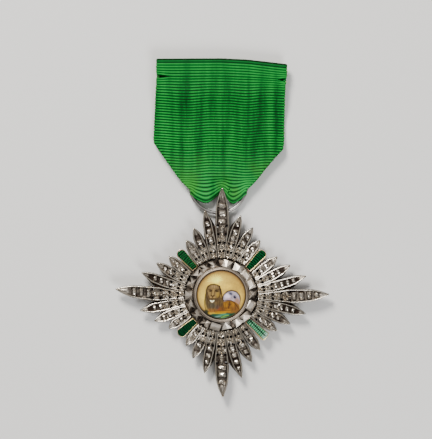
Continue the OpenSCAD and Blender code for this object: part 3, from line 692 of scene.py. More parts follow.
# %% Finish the four arms
def set_by_turns(name, seats, shapes, tilt, spread, seed):
    """Shares the seats out among several shapes, so that neighbours catch the light differently."""
    draw = random.Random(seed)
    picks = [draw.randrange(len(shapes)) for _ in seats]
    return [set_on_seats(name, [s for s, p in zip(seats, picks) if p == k], shape, star_silver,
                         tilt, spread, seed + k) for k, shape in enumerate(shapes)]


for order, arm in enumerate(RAYS):
    blade = arm_blade(arm)
    blade.data.materials.append(star_silver)
    large, small, holes = arm_seats(arm)
    drills = set_on_seats("drills", holes, drill, star_silver, seed=order + 3)
    cut = blade.modifiers.new("holes", "BOOLEAN")
    cut.operation, cut.solver, cut.object = "DIFFERENCE", "MANIFOLD", drills
    apply_modifiers(blade)
    bpy.data.objects.remove(drills)
    sharp = positions(blade)
    wobble = np.array([[ripple(p, 2.4, 3.1 + k) for k in range(3)] for p in sharp])
    move_points(blade, sharp + wobble * (0.05, 0.05, 0.04) * (sharp[:, 2:] > BACK_Z + 0.05))
    studs = set_by_turns("studs", large, cut_studs, 9, 0.07, 11 + 40 * order)
    grains = set_by_turns("grains", small, small_studs, 15, 0.14, 23 + 40 * order)
    piece = join("star_arm_" + arm, [blade, *studs, *grains])
    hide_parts("arm_" + arm)
    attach(piece, "root")
    print(piece.name, len(large), "large studs,", len(small), "small studs,", len(holes), "holes,",
          len(piece.data.polygons), "faces")
for shape in (*cut_studs, *small_studs, drill):
    bpy.data.objects.remove(shape)

# %% [markdown]
# ## The boss and its cup
#
# The boss is a heavy silver ring, filed into knobs that throw light in all directions. A plain
# ring is spun first. The knobs come in a few kinds, and the same node tree that set the studs
# sets them round the ring, each turned and sized a little.

# %% Spin a closed ring
def spun_ring(name, profile, turns=144, wobble=0.0):
    """A closed ring from a closed profile of radius, height and wear, all in mm."""
    n = len(profile)
    points, wear, faces = [], [], []
    for k in range(turns):
        a = 2 * math.pi * k / turns
        for r, z, bright in profile:
            soft = wobble * ripple((10 * math.cos(a), 10 * math.sin(a), z), 2.5, r)
            points.append(((r + soft) * math.cos(a), (r + soft) * math.sin(a), z + soft))
            wear.append(bright)
    for k in range(turns):
        for c in range(n):
            a, b = k * n + c, k * n + (c + 1) % n
            far = ((k + 1) % turns - k) * n
            faces.append((a, a + far, b + far, b))
    return silver_piece(name, points, faces, wear)


FACE_Z = 3.36
BOSS_PROFILE = ((7.83, 0, 0.2), (10.2, 0, 0.2), (10.4, 0.2, 0.35), (10.3, 0.5, 0.4),
                (9.8, 0.8, 0.3), (9.2, 1.2, 0.2), (8.6, 1.4, 0.2), (8.3, 1.8, 0.3),
                (8.14, 2.3, 0.4), (8.02, 2.66, 0.5), (7.9, 2.8, 0.6), (7.83, 2.76, 0.5))
boss_base = spun_ring("boss_base", [(r, z + FACE_Z, w) for r, z, w in BOSS_PROFILE], wobble=0.05)

# %% The knobs, from tables of their corners
# Columns: place outward, place across, height, wear. Outward and across run from -1 to 1.
KNOB_BASE = ((-1, -0.88, 0, 0.3), (0.98, -0.94, 0, 0.3), (0.98, 0.94, 0, 0.3), (-1, 0.88, 0, 0.3),
             (-0.98, -0.86, 0.9, 0.6), (0.94, -0.9, 0.56, 0.4), (0.94, 0.9, 0.56, 0.4),
             (-0.98, 0.86, 0.9, 0.6))
BASE_FACES = ((3, 2, 1, 0), (0, 1, 5, 4), (1, 2, 6, 5), (2, 3, 7, 6), (3, 0, 4, 7))
KNOB_TOPS = {
    "ridge": (((-0.75, 0.08, 1.0, 0.95), (0.5, -0.08, 0.92, 0.9)),
              ((4, 5, 9, 8), (5, 6, 9), (6, 7, 8, 9), (7, 4, 8))),
    "point": (((-0.1, 0.1, 1.0, 1.0),), ((4, 5, 8), (5, 6, 8), (6, 7, 8), (7, 4, 8))),
    "star": (((-0.15, 0.05, 1.0, 1.0), (-0.98, 0.0, 0.78, 0.5), (0.0, -0.88, 0.56, 0.3),
              (0.94, 0.0, 0.46, 0.3), (0.0, 0.85, 0.52, 0.3)),
             ((4, 10, 8), (10, 5, 8), (5, 11, 8), (11, 6, 8), (6, 12, 8), (12, 7, 8), (7, 9, 8),
              (9, 4, 8), (4, 5, 10), (5, 6, 11), (6, 7, 12), (7, 4, 9))),
    "fan": (((-0.8, -0.05, 1.0, 0.95), (0.9, 0.1, 0.66, 0.6)),
            ((4, 5, 8), (5, 9, 8), (9, 6, 8), (6, 7, 8), (5, 6, 9), (7, 4, 8))),
    "wedge": (((-0.3, 0.86, 0.95, 0.9), (0.1, -0.86, 0.9, 0.9)),
              ((4, 9, 8, 7), (4, 5, 9), (5, 6, 8, 9), (6, 7, 8))),
    "block": (((-0.6, -0.5, 1.0, 1.0), (0.5, -0.45, 0.94, 1.0), (0.5, 0.45, 0.9, 1.0),
               (-0.6, 0.5, 0.98, 1.0)),
              ((4, 5, 9, 8), (5, 6, 10, 9), (6, 7, 11, 10), (7, 4, 8, 11), (8, 9, 10, 11))),
}


def knob_shape(kind, seed):
    """A knob of one kind. Each of its facets is painted a little brighter or darker by the seed, as
    painted glints and painted shade, and a block's top facets are all painted bright, a painted
    highlight.
    """
    tops, facets = KNOB_TOPS[kind]
    corners = KNOB_BASE + tops
    shade = random.Random(seed)
    facet_glint_shade = [0.2 if kind == "block" else shade.choice((-0.55, -0.35, -0.15, 0.0, 0.1, 0.2))
              for _ in facets]
    return silver_piece("knob_" + kind, [c[:3] for c in corners], BASE_FACES + facets,
                        [c[3] for c in corners], [-0.1] * len(BASE_FACES) + facet_glint_shade, smooth=False)


# The bold knobs are blocks whose tops are painted bright: a painted highlight.
KNOBS, KNOB_IN, KNOB_OUT, KNOB_HALF_W, BOLD_KNOBS = 18, 8.1, 10.52, 1.7, (1, 2, 17)
knob_shapes = [knob_shape(kind, k) for k, kind in enumerate(
    ("star", "point", "star", "fan", "star", "ridge", "star", "wedge", "block"))]
draw = random.Random(12)
knob_seats = [[] for _ in knob_shapes]
for k in range(KNOBS):
    a = 360 * (k + 0.5 * draw.uniform(-0.25, 0.25)) / KNOBS
    bold = k in BOLD_KNOBS
    inner, outer = KNOB_IN + draw.uniform(0, 0.2), KNOB_OUT - draw.uniform(0, 0.12)
    knob_seats[-1 if bold else draw.randrange(len(knob_shapes) - 1)].append(
        (at_angle((inner + outer) / 2, a, FACE_Z + 0.1), (0, 0, a),
         ((outer - inner) / 2, KNOB_HALF_W * draw.uniform(0.94, 1.06),
          draw.uniform(2.25, 2.6) + (0.1 if bold else 0))))
knobs = [set_on_seats("knobs", seats, shape, boss_silver, tilt=9, seed=7 + k)
         for k, (seats, shape) in enumerate(zip(knob_seats, knob_shapes)) if seats]
boss_base.data.materials.append(band_silver)
boss = join("boss_collar", [boss_base, *knobs])
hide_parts("boss_ring")
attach(boss, "root")
for shape in knob_shapes:
    bpy.data.objects.remove(shape)
print("boss:", KNOBS, "knobs,", len(boss.data.polygons), "faces")

# %% The cup's thin rim
CUP_R, CUP_IN_R, CUP_TOP, CUP_BORE, CUP_FLOOR = 7.76, 7.27, 3.05, 1.65, 1.35
cup = spun_ring("cup_rim", [(r, z + FACE_Z, w) for r, z, w in (
    (CUP_BORE, 0, 0.3), (CUP_R, 0, 0.3), (CUP_R, CUP_TOP - 0.22, 0.6),
    (CUP_R - 0.05, CUP_TOP - 0.18, 0.62), (CUP_R - 0.2, CUP_TOP - 0.13, 0.64),
    (CUP_IN_R + 0.08, CUP_TOP - 0.08, 0.72), (CUP_IN_R, CUP_TOP - 0.16, 0.2),
    (CUP_IN_R, CUP_FLOOR, 0.0), (CUP_BORE, CUP_FLOOR, 0.0))], wobble=0.02)
cup.data.materials.append(cup_silver)
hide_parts("medallion_cup")
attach(cup, "root")

# %% [markdown]
# ## The suspension ring
#
# The ring is a plain round wire, bent and soldered, and a little out of true. It is spun from a
# circle like the boss, and then pushed out of round by a soft noise.

# %% Bend the ring
RING_R, WIRE_R, RING_X, RING_Y, RING_Z = 8.4, 0.49, -0.9, 32.352, 1.6
circle = [(RING_R + WIRE_R * math.cos(a), WIRE_R * math.sin(a), 0.45 + 0.4 * math.sin(a))
          for a in np.linspace(0, 2 * math.pi, 17)[:-1]]
ring = spun_ring("ring_wire", circle, turns=160)
ring_points = positions(ring)
ring_points += 0.05 * np.array([[ripple(p, 4.0, 1.0), ripple(p, 4.0, 2.0), 0]
                                for p in ring_points])
move_points(ring, ring_points + (RING_X, RING_Y, RING_Z))
ring.data.materials.append(ring_silver)
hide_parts("suspension_ring")
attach(ring, "root")

# %% [markdown]
# ## The painted medallion
#
# The medallion is a shallow dome of enamel with a pale gold ground, painted with a fine brush: a
# lion that lies on a strip of turf, and the sun's face rising behind its back. It is an old and
# common figure, and this one is drawn anew. The picture is a list of brush strokes, painted one
# over another on a fine mesh. Each stroke has a soft and slightly wavering edge, as a hand gives
# it, and the glossy finish lies over them like the last clear coat. A painted highlight lies up
# left of the middle, and painted shade lies round the rim.

# %% The strokes, in the order in which they are painted
# A dab: place, half sizes, turn in degrees, colour, softness, strength.
# A line: its corners, width, colour, softness, strength.
GROUND, PAINTED_GLINT_AT = (182, 149, 68), (-1.8, 3.9)
DARK_BROWN, GOLDEN = (44, 29, 16), (112, 76, 28)
# The sky's dabs. The first two paint a broad highlight and its pale core up left of the middle: a
# painted reflection of the light on the glossy dome.
DABS_OF_SKY_AND_GLINT = (
    ((-1.4, 3.6), (3.6, 3.0), 0, (235, 199, 80), 1.0, 0.85),
    ((-1.3, 4.2), (1.5, 0.95), 20, (255, 255, 116), 0.9, 0.8),
    ((4.6, 2.8), (2.2, 2.2), 0, (175, 138, 54), 0.9, 0.5),
    ((-5.4, -0.8), (1.4, 3.0), 0, (229, 197, 82), 0.9, 0.6),
    ((2.0, 2.4), (1.8, 0.9), 10, (240, 199, 69), 0.9, 0.6),
    ((5.6, -1.0), (1.0, 2.4), 0, (233, 193, 74), 0.9, 0.6),
)
SUN = (
    ((3.05, -1.22), (2.78, 2.7), 0, (62, 50, 43), 0.08, 0.95),
    ((3.05, -1.38), (2.5, 2.45), 0, (161, 149, 157), 0.08, 1.0),
    ((1.8, -0.4), (1.0, 0.9), 20, (221, 200, 214), 0.6, 0.9),
    ((4.7, -2.0), (1.1, 1.5), 20, (147, 105, 76), 0.7, 0.85),
    ((2.3, -1.2), (1.1, 0.4), -10, (157, 112, 107), 0.8, 0.5),
    ((2.75, 0.3), (0.85, 0.55), -20, (100, 98, 113), 0.6, 0.9),
    ((2.8, 0.3), (0.5, 0.32), -20, (52, 54, 71), 0.5, 0.9),
    ((3.95, -0.7), (0.75, 0.5), -35, (87, 82, 96), 0.6, 0.9),
    ((3.95, -0.72), (0.45, 0.36), -35, (27, 29, 41), 0.4, 1.0),
)
SUN_LINES = (
    (((0.6, 0.0), (1.6, 0.95), (3.0, 1.3), (4.3, 0.9), (5.3, -0.2), (5.6, -1.6)), 0.16,
     (62, 50, 43), 0.5, 0.9),
    (((2.0, 0.6), (2.7, 0.85), (3.2, 0.6)), 0.1, (87, 79, 94), 0.6, 0.7),
    (((3.6, -0.1), (4.2, -0.15), (4.6, -0.6)), 0.1, (87, 79, 94), 0.6, 0.7),
    (((3.2, -0.1), (3.0, -0.9), (3.25, -1.1)), 0.1, (125, 101, 113), 0.6, 0.7),
)
BODY = (
    ((2.5, -3.75), (2.95, 2.15), -8, GOLDEN, 0.08, 1.0),
    ((0.0, -4.2), (2.8, 1.7), 0, (99, 64, 27), 0.2, 1.0),
    ((4.2, -3.9), (1.2, 1.2), 0, (111, 73, 31), 0.4, 0.9),
    ((1.3, -3.0), (0.75, 0.9), 15, (149, 102, 20), 0.7, 0.85),
    ((3.5, -2.8), (0.65, 0.85), 10, (145, 96, 22), 0.7, 0.85),
    ((2.0, -4.3), (1.0, 0.4), 0, (143, 94, 24), 0.7, 0.8),
    ((-0.9, -4.3), (0.95, 0.4), 10, (127, 62, 29), 0.5, 0.8),
)
BODY_LINES = (
    (((0.35, -1.9), (1.4, -1.55), (3.0, -1.7), (4.2, -2.7), (5.1, -4.1)), 0.24, (56, 36, 21),
     0.5, 0.9),
    (((2.5, -2.1), (2.4, -2.9), (2.1, -4.0)), 0.32, (62, 36, 17), 0.6, 0.9),
    (((2.0, -2.6), (2.45, -3.0), (3.0, -2.7)), 0.18, (71, 43, 21), 0.6, 0.8),
    (((3.9, -3.0), (4.3, -3.7), (4.0, -4.5)), 0.22, (85, 52, 24), 0.6, 0.8),
    (((1.4, -2.2), (1.2, -3.2), (1.5, -4.2)), 0.16, (89, 56, 25), 0.6, 0.7),
    (((0.4, -2.4), (0.6, -3.4), (0.4, -4.3)), 0.24, (79, 50, 26), 0.6, 0.8),
    (((3.1, -3.7), (3.3, -4.5)), 0.16, (92, 57, 26), 0.6, 0.7),
    (((-3.9, -5.05), (-2.0, -5.1), (0.6, -5.0), (2.6, -4.95)), 0.3, (174, 120, 0), 0.5, 0.85),
)
MANE = (
    ((-2.5, -1.6), (2.3, 3.5), 0, (81, 67, 43), 0.1, 1.0),
    ((-0.4, -1.9), (1.1, 1.9), 10, (81, 63, 39), 0.5, 0.95),
    ((-3.5, -1.6), (0.9, 1.8), 0, (88, 72, 46), 0.7, 0.8),
    ((-1.3, -1.9), (0.9, 1.3), 0, (96, 75, 45), 0.8, 0.8),
    ((-2.7, -3.0), (1.2, 1.3), 0, (67, 61, 49), 0.9, 0.8),
    ((-1.1, -3.6), (0.8, 0.8), 0, (76, 56, 52), 0.8, 0.7),
    ((-2.7, -4.6), (1.8, 0.7), 0, (124, 82, 36), 0.8, 0.95),
    ((-4.1, -3.6), (0.4, 1.2), 0, (94, 77, 45), 0.8, 0.8),
)
MANE_LINES = (
    (((-3.9, -0.6), (-4.1, -2.0), (-3.9, -3.6)), 0.14, (49, 36, 22), 0.6, 0.8),
    (((-3.4, -1.6), (-3.5, -2.8), (-3.2, -4.0)), 0.12, (53, 42, 27), 0.6, 0.75),
    (((-2.9, -2.6), (-3.0, -3.4), (-2.7, -4.4)), 0.12, (103, 93, 70), 0.6, 0.5),
    (((-2.3, -2.6), (-2.2, -3.3), (-2.4, -4.3)), 0.12, (50, 42, 33), 0.6, 0.75),
    (((-1.8, -2.2), (-1.6, -3.2), (-1.9, -4.2)), 0.12, (105, 90, 63), 0.6, 0.5),
    (((-1.3, -1.4), (-1.0, -2.6), (-1.2, -3.8)), 0.16, (52, 38, 23), 0.6, 0.8),
    (((-0.7, -0.8), (-0.3, -2.0), (-0.6, -3.4)), 0.16, (57, 42, 25), 0.6, 0.8),
    (((0.0, -0.9), (0.3, -2.0), (0.0, -3.4)), 0.16, (67, 48, 28), 0.6, 0.8),
    (((-3.3, -4.2), (-3.2, -5.0)), 0.16, (77, 49, 25), 0.6, 0.7),
    (((-2.0, -4.3), (-1.9, -5.0)), 0.16, (77, 49, 25), 0.6, 0.7),
)
HEAD = (
    ((-3.6, 2.25), (0.55, 0.55), 0, (55, 39, 24), 0.15, 1.0),
    ((-0.75, 2.3), (0.55, 0.52), 0, (55, 39, 24), 0.15, 1.0),
    ((-2.25, 0.9), (2.35, 2.3), 0, (68, 52, 32), 0.08, 1.0),
    ((-2.3, -0.6), (2.3, 1.7), 0, (73, 57, 36), 0.2, 1.0),
    ((-3.55, 2.15), (0.34, 0.34), 0, (99, 78, 50), 0.5, 0.9),
    ((-0.8, 2.2), (0.34, 0.32), 0, (99, 78, 50), 0.5, 0.9),
    ((-2.25, 0.8), (1.95, 2.05), 0, (116, 94, 57), 0.3, 1.0),
    ((-2.1, 2.4), (1.35, 0.6), 0, (146, 119, 76), 0.7, 0.9),
    ((-1.0, 0.0), (0.7, 0.95), 0, (146, 115, 40), 0.9, 0.75),
    ((-3.6, 0.1), (0.4, 0.9), 0, (122, 99, 61), 0.7, 0.7),
    ((-3.1, 1.15), (0.62, 0.34), 8, (55, 38, 21), 0.6, 0.95),
    ((-1.25, 1.1), (0.74, 0.36), -4, (51, 35, 19), 0.6, 0.95),
    ((-2.6, -0.75), (1.15, 0.6), 0, (119, 96, 59), 0.5, 0.95),
    ((-3.1, -0.75), (0.45, 0.34), 0, (145, 115, 68), 0.6, 0.8),
    ((-2.05, -0.75), (0.45, 0.34), 0, (145, 114, 61), 0.6, 0.8),
    ((-2.52, -0.3), (0.55, 0.26), 0, (46, 30, 17), 0.4, 1.0),
)
HEAD_LINES = (
    (((-4.35, 1.5), (-4.0, 2.3), (-3.2, 2.95), (-2.1, 3.12), (-1.1, 2.9), (-0.4, 2.3), (-0.1, 1.5)),
     0.26, (50, 36, 22), 0.5, 0.9),
    (((-3.2, 2.8), (-3.0, 1.75)), 0.1, (76, 60, 40), 0.6, 0.8),
    (((-2.75, 2.95), (-2.65, 1.7)), 0.1, (76, 60, 40), 0.6, 0.8),
    (((-2.2, 3.0), (-2.2, 1.8)), 0.1, (71, 54, 36), 0.6, 0.8),
    (((-1.65, 2.95), (-1.7, 1.7)), 0.1, (76, 60, 40), 0.6, 0.8),
    (((-1.15, 2.8), (-1.3, 1.75)), 0.1, (76, 60, 40), 0.6, 0.8),
    (((-3.75, 1.45), (-3.2, 1.62), (-2.65, 1.35)), 0.16, DARK_BROWN, 0.5, 0.9),
    (((-0.5, 1.5), (-1.2, 1.62), (-1.8, 1.3)), 0.18, DARK_BROWN, 0.5, 0.9),
    (((-3.35, 1.05), (-2.85, 1.05)), 0.16, (25, 17, 9), 0.4, 1.0),
    (((-1.55, 1.05), (-0.95, 1.02)), 0.18, (25, 17, 9), 0.4, 1.0),
    (((-2.25, 1.6), (-2.35, 0.7), (-2.5, -0.1)), 0.42, (142, 114, 62), 0.6, 0.9),
    (((-2.7, 1.2), (-2.78, 0.3), (-3.0, -0.3)), 0.13, (60, 42, 24), 0.6, 0.85),
    (((-1.85, 1.2), (-2.0, 0.3), (-2.0, -0.3)), 0.13, (66, 46, 25), 0.6, 0.8),
    (((-2.52, -0.4), (-2.52, -0.95)), 0.1, DARK_BROWN, 0.5, 0.9),
    (((-3.35, -1.1), (-2.95, -1.22), (-2.52, -0.95), (-2.1, -1.22), (-1.7, -1.1)), 0.15,
     (40, 26, 14), 0.5, 0.95),
    (((-4.05, 0.8), (-3.8, -0.2), (-3.35, -1.0)), 0.2, (57, 40, 24), 0.6, 0.85),
    (((-4.45, 0.4), (-4.2, -0.9), (-3.6, -1.9)), 0.2, (53, 39, 23), 0.6, 0.85),
    (((-0.25, 0.9), (-0.5, -0.3), (-1.1, -1.2)), 0.2, (63, 45, 25), 0.6, 0.8),
    (((-0.6, 2.5), (-0.08, 1.4), (0.12, 0.0), (0.35, -1.1), (0.7, -1.7)), 0.4, (48, 33, 20),
     0.5, 0.95),
    (((-4.3, 1.7), (-4.6, 0.0), (-4.85, -1.9), (-4.7, -3.7), (-4.3, -5.1)), 0.22, (50, 38, 23),
     0.5, 0.9),
)
BEARD = (
    ((-2.68, -2.0), (0.42, 0.34), 0, (237, 208, 158), 0.5, 0.95),
    ((-3.0, -1.78), (0.36, 0.2), -35, (255, 255, 213), 0.4, 1.0),
    ((-2.3, -1.78), (0.36, 0.2), 35, (255, 255, 206), 0.4, 1.0),
)
TURF = (
    ((0.2, -7.3), (6.2, 2.05), 2, (33, 69, 51), 0.06, 1.0),
    ((0.7, -5.8), (1.9, 0.32), 4, (64, 121, 94), 0.6, 0.85),
    ((-1.2, -6.4), (1.5, 0.3), 8, (100, 136, 121), 0.6, 0.85),
    ((0.6, -6.75), (1.3, 0.3), 8, (69, 127, 84), 0.6, 0.8),
    ((3.3, -5.7), (1.2, 0.4), 20, (20, 55, 32), 0.5, 0.9),
    ((-4.3, -5.0), (0.9, 0.7), -30, (31, 40, 27), 0.5, 0.9),
)
TURF_LINES = (
    (((-3.8, -5.3), (-2.2, -5.48), (0.0, -5.4), (1.4, -5.3)), 0.26, (174, 142, 0), 0.5, 0.9),
    (((0.0, -6.6), (1.0, -6.2), (2.2, -5.95)), 0.18, (118, 158, 45), 0.5, 0.85),
    (((-3.4, -6.1), (-2.0, -5.85), (-0.6, -5.95)), 0.16, (23, 63, 52), 0.5, 0.7),
    (((1.6, -6.6), (2.8, -6.2)), 0.16, (20, 61, 38), 0.5, 0.7),
)


# %% The dome that is painted
MEDAL_R, MEDAL_LOW, MEDAL_EDGE, MEDAL_RISE, EDGE_DROP = 7.2, 4.77, 5.97, 0.6, 0.08
RINGS, SPOKES, HAND_SWAY, PAINT_GRAIN = 72, 288, 0.07, 0.10
medal_rings = [(MEDAL_R, MEDAL_LOW)]
for r in np.linspace(MEDAL_R, 0, RINGS + 1)[:-1]:
    medal_rings.append((r, MEDAL_EDGE + MEDAL_RISE * (1 - (r / MEDAL_R) ** 2)
                        - (EDGE_DROP if r == MEDAL_R else 0)))
medal_points = [(r * math.cos(a), r * math.sin(a), z) for r, z in medal_rings
                for a in 2 * math.pi * np.arange(SPOKES) / SPOKES]
medal_points += [(0, 0, MEDAL_EDGE + MEDAL_RISE), (0, 0, MEDAL_LOW)]
medal_faces = tube_faces(RINGS + 1, SPOKES, capped=False)
medal_faces += [(RINGS * SPOKES + c, RINGS * SPOKES + (c + 1) % SPOKES, len(medal_points) - 2)
                for c in range(SPOKES)]
medal_faces += [((c + 1) % SPOKES, c, len(medal_points) - 1) for c in range(SPOKES)]
medal = new_piece("painted_medallion", medal_points, medal_faces)

# %% Paint on its mesh
spots = np.array(medal_points)
reach = np.hypot(spots[:, 0], spots[:, 1])
sway = np.array([(ripple(p, 0.8, 3.0), ripple(p, 0.8, 9.0)) for p in medal_points])
grain = np.array([ripple(p, 0.35, 5.0) for p in medal_points])
hand = spots[:, :2] + sway * HAND_SWAY


def paint_over(paint, cover, colour):
    cover = np.clip(cover, 0, 1)[:, None]
    return paint * (1 - cover) + np.array([rgb(*colour)[:3]]) * cover


def dab(paint, at, half, turn, colour, soft, strength):
    """An oval touch of the brush. Softness is the share of its size that fades out."""
    t = math.radians(turn)
    dx, dy = hand[:, 0] - at[0], hand[:, 1] - at[1]
    u, v = dx * math.cos(t) + dy * math.sin(t), -dx * math.sin(t) + dy * math.cos(t)
    away = np.hypot(u / half[0], v / half[1])
    return paint_over(paint, strength * (1 - smooth_step(1 - soft, 1 + soft * 0.35, away)), colour)


def line(paint, corners, width, colour, soft, strength):
    """A drawn stroke through its corners, thinner towards its ends."""
    least, along = np.full(len(hand), 9.0), np.zeros(len(hand))
    for k, (a, b) in enumerate(zip(corners, corners[1:])):
        a, b = np.array(a), np.array(b)
        t = np.clip(((hand - a) @ (b - a)) / ((b - a) @ (b - a)), 0, 1)
        away = np.hypot(*(hand - a - t[:, None] * (b - a)).T)
        along = np.where(away < least, (k + t) / (len(corners) - 1), along)
        least = np.minimum(least, away)
    half = width / 2 * (0.55 + 0.45 * np.sin(np.pi * np.clip(along, 0.02, 0.98)) ** 0.5)
    cover = strength * (1 - smooth_step(half * (1 - soft), half + 0.09, least))
    return paint_over(paint, cover, colour)


paint = np.repeat([rgb(*GROUND)[:3]], len(spots), axis=0)
for stroke in DABS_OF_SKY_AND_GLINT:
    paint = dab(paint, *stroke)
# Twelve short rays of painted highlight spread from the glint.
for a in np.linspace(0.05, 1.0, 12) * math.pi:
    glint_ray = [(PAINTED_GLINT_AT[0] + wide * math.cos(a), PAINTED_GLINT_AT[1] + high * math.sin(a))
            for wide, high in ((0.7, 0.7), (2.3, 2.1))]
    paint = line(paint, glint_ray, 0.12, (255, 255, 129), 0.8, 0.5)
# Painted shade: the ground darkens towards the rim, most at the top.
shade = smooth_step(5.4, 7.1, reach) * (0.35 + 0.6 * smooth_step(-2, 6, spots[:, 1]))
paint = paint_over(paint, shade, (128, 95, 51))
for dabs, lines in ((SUN, SUN_LINES), (BODY, BODY_LINES), (MANE, MANE_LINES), (HEAD, HEAD_LINES),
                    (BEARD, ()), (TURF, TURF_LINES)):
    for stroke in dabs:
        paint = dab(paint, *stroke)
    for stroke in lines:
        paint = line(paint, *stroke)
# Painted shade along the rim: a thin dark brown ring at the very edge, and a dark green patch at
# its lower left.
paint = paint_over(paint, 0.9 * smooth_step(6.6, 7.0, reach), (71, 53, 34))
paint = paint_over(paint, 0.8 * smooth_step(6.3, 6.9, reach) * smooth_step(-3.6, -5.4, spots[:, 1])
                   * smooth_step(0.5, -2.5, spots[:, 0]), (21, 28, 23))
paint *= 1 + PAINT_GRAIN * grain[:, None]
colours = medal.data.color_attributes.new("paint", "FLOAT_COLOR", "POINT")
colours.data.foreach_set("color", np.column_stack([paint, np.ones(len(paint))]).ravel())

look = Finish("painted_medallion_enamel", Roughness=0.3, Specular_IOR_Level=0.14)
at = look.place()
strokes_of_hand = look.add("ShaderNodeAttribute", attribute_name="paint").outputs["Color"]
cloudy = look.noise(at, 1.6, 4.0).remap(0.3, 0.7, 0.9, 1.08)
look.shade(Base_Color=look.vector("SCALE", strokes_of_hand, Scale=cloudy))
look.bump(look.noise(at, 2.2, 3.0), 0.25, 0.05)
medal.data.materials.append(look.material)
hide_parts("medallion")
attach(medal, "root")
print("medallion:", len(medal.data.polygons), "faces")

# %% [markdown]
# ## Green enamel rays
#
# Between the arms lie four short rays of glass, fused into gilt trays over a ribbed ground. The
# ribs show through the glass as fine pale lines across it. Each tray is a loop that is inset
# and raised, and the glass is a low pillow. Every ray stores how far along it each point lies,
# and the finish draws the ribs by that number, so they stay with the ray.

# %% Gilt and enamel finishes
def gilt_finish():
    look = Finish("worn_gilt", Metallic=1.0)
    at = look.place()
    fine = look.noise(at, 2.6, 4.0)
    share = (look.stored("crest") + (fine - 0.5)).remap(0.1, 0.8)
    gold = look.blend(look.noise(at, 0.35, 2.0).remap(0.42, 0.58), rgb(236, 200, 182),
                      rgb(238, 216, 146))
    look.shade(Base_Color=look.blend(share, rgb(70, 48, 30), gold),
               Roughness=fine.remap(0.3, 0.7, 0.24, 0.45))
    look.bump(fine, 0.3, 0.05)
    return look.material


def enamel_finish(name, deep, pale, rib_share, spacing, painted_glare_end):
    """Glass over ribs: rib_share says how strongly the pale ribs show."""
    look = Finish(name, Roughness=0.16, IOR=1.5, Specular_IOR_Level=0.08)
    at = look.place()
    along, across = look.stored("along"), look.stored("across")
    waver = (look.noise(at, 0.8, 2.0) - 0.5) * 0.7
    bow = across * across * 0.18
    wave = look.number("SINE", (along + waver + bow) * (2 * math.pi / spacing)).remap(0.1, 1.0)
    strength = wave * look.noise(at, 1.6, 3.0).remap(0.3, 0.6, 0.55 * rib_share, rib_share)
    cloudy = tuple(c * k for c, k in zip(rgb(*deep), (1.9, 1.45, 1.6, 1)))
    body = look.blend(look.noise(at, 0.7, 4.0).remap(0.35, 0.7), rgb(*deep), cloudy)
    edge = look.number("ABSOLUTE", across).remap(0.62, 1.0)
    ribbed = look.blend(strength, look.blend(edge * 0.5, body, rgb(4, 40, 22)), rgb(*pale))
    # A painted reflection pales the ray towards its outer end.
    end = along.remap(*painted_glare_end) * 0.85
    look.shade(Base_Color=look.blend(end, ribbed, rgb(176, 196, 190)))
    look.bump(wave + look.noise(at, 1.4, 3.0), 0.08, 0.06)
    return look.material


worn_gilt = gilt_finish()
# Only the fourth ray has a painted reflection near its outer end. The other ends lie beyond the
# rays.
NO_END = (90.0, 91.0)
enamels = [enamel_finish(*row) for row in (
    ("deep_enamel_1", (0, 20, 8), (6, 84, 36), 1.0, 0.66, NO_END),
    ("ribbed_enamel_2", (0, 16, 6), (34, 108, 52), 0.9, 0.62, NO_END),
    ("deep_enamel_3", (0, 16, 7), (10, 80, 36), 0.8, 0.6, NO_END),
    ("mint_enamel_4", (10, 72, 38), (126, 186, 148), 1.0, 0.62, (6.0, 8.2)))]

# %% Trays and pillows of glass
ENAMEL_REACH, TRAY_W, TRAY_ROOT_W, TRAY_RIM, TRAY_H, TRAY_FLOOR = 18.0, 2.85, 2.05, 0.16, 1.3, 0.5
TONGUE = ((-3.0, 0.87), (0.6, 0.87), (0.6, -0.87), (-3.0, -0.87))
# Columns: angle and reach of the outer end, angle at the boss, roundness, width of the left rim
# and of the right rim as shares of the named one.
ENAMEL_RAYS = ((45, 1, 43.5, 0.8, 0.9, 1.9), (134.4, 1, 135.2, 0.95, 1.6, 0.9),
               (223.5, 0.96, 225, 0.85, 0.8, 1.0), (316.5, 1.02, 315.3, 0.3, 1.0, 2.4))


def tray_loop(length, inset, left, right, roundness):
    """The tray's outline, drawn inwards by an inset that differs on its two sides."""
    up, down = TRAY_W / 2 - inset * left, TRAY_W / 2 - inset * right
    root_up, root_down = TRAY_ROOT_W / 2 - inset * left, TRAY_ROOT_W / 2 - inset * right
    end = length - inset
    loop = [(mix(inset, end - roundness * up, t), mix(root_up, up, t))
            for t in np.linspace(0, 0.97, 14)]
    for a in np.linspace(90, -90, 19):
        half = up if a > 0 else down
        loop.append((end - roundness * half + roundness * half * math.cos(math.radians(a)),
                     half * math.sin(math.radians(a))))
    loop += [(mix(end - roundness * down, inset, t), -mix(down, root_down, t))
             for t in np.linspace(0.03, 1, 14)]
    return loop


def stack_loops(name, loops, place_point, closed_ring=False):
    """A closed mesh of loops: a ring joins its last loop to its first, a pillow caps both."""
    n = len(loops[0][0])
    points = [place_point(x, y, z) for loop, z, _ in loops for x, y in loop]
    faces = []
    for r in range(len(loops) - (0 if closed_ring else 1)):
        low, high = r * n, (r + 1) % len(loops) * n
        faces += [(low + (k + 1) % n, low + k, high + k, high + (k + 1) % n) for k in range(n)]
    if not closed_ring:
        faces.append(tuple(range(n)))
        faces.append(tuple(range(len(points) - n, len(points)))[::-1])
    piece = new_piece(name, points, faces)
    set_number(piece, "crest", [wear for loop, _, wear in loops for _ in loop])
    return piece


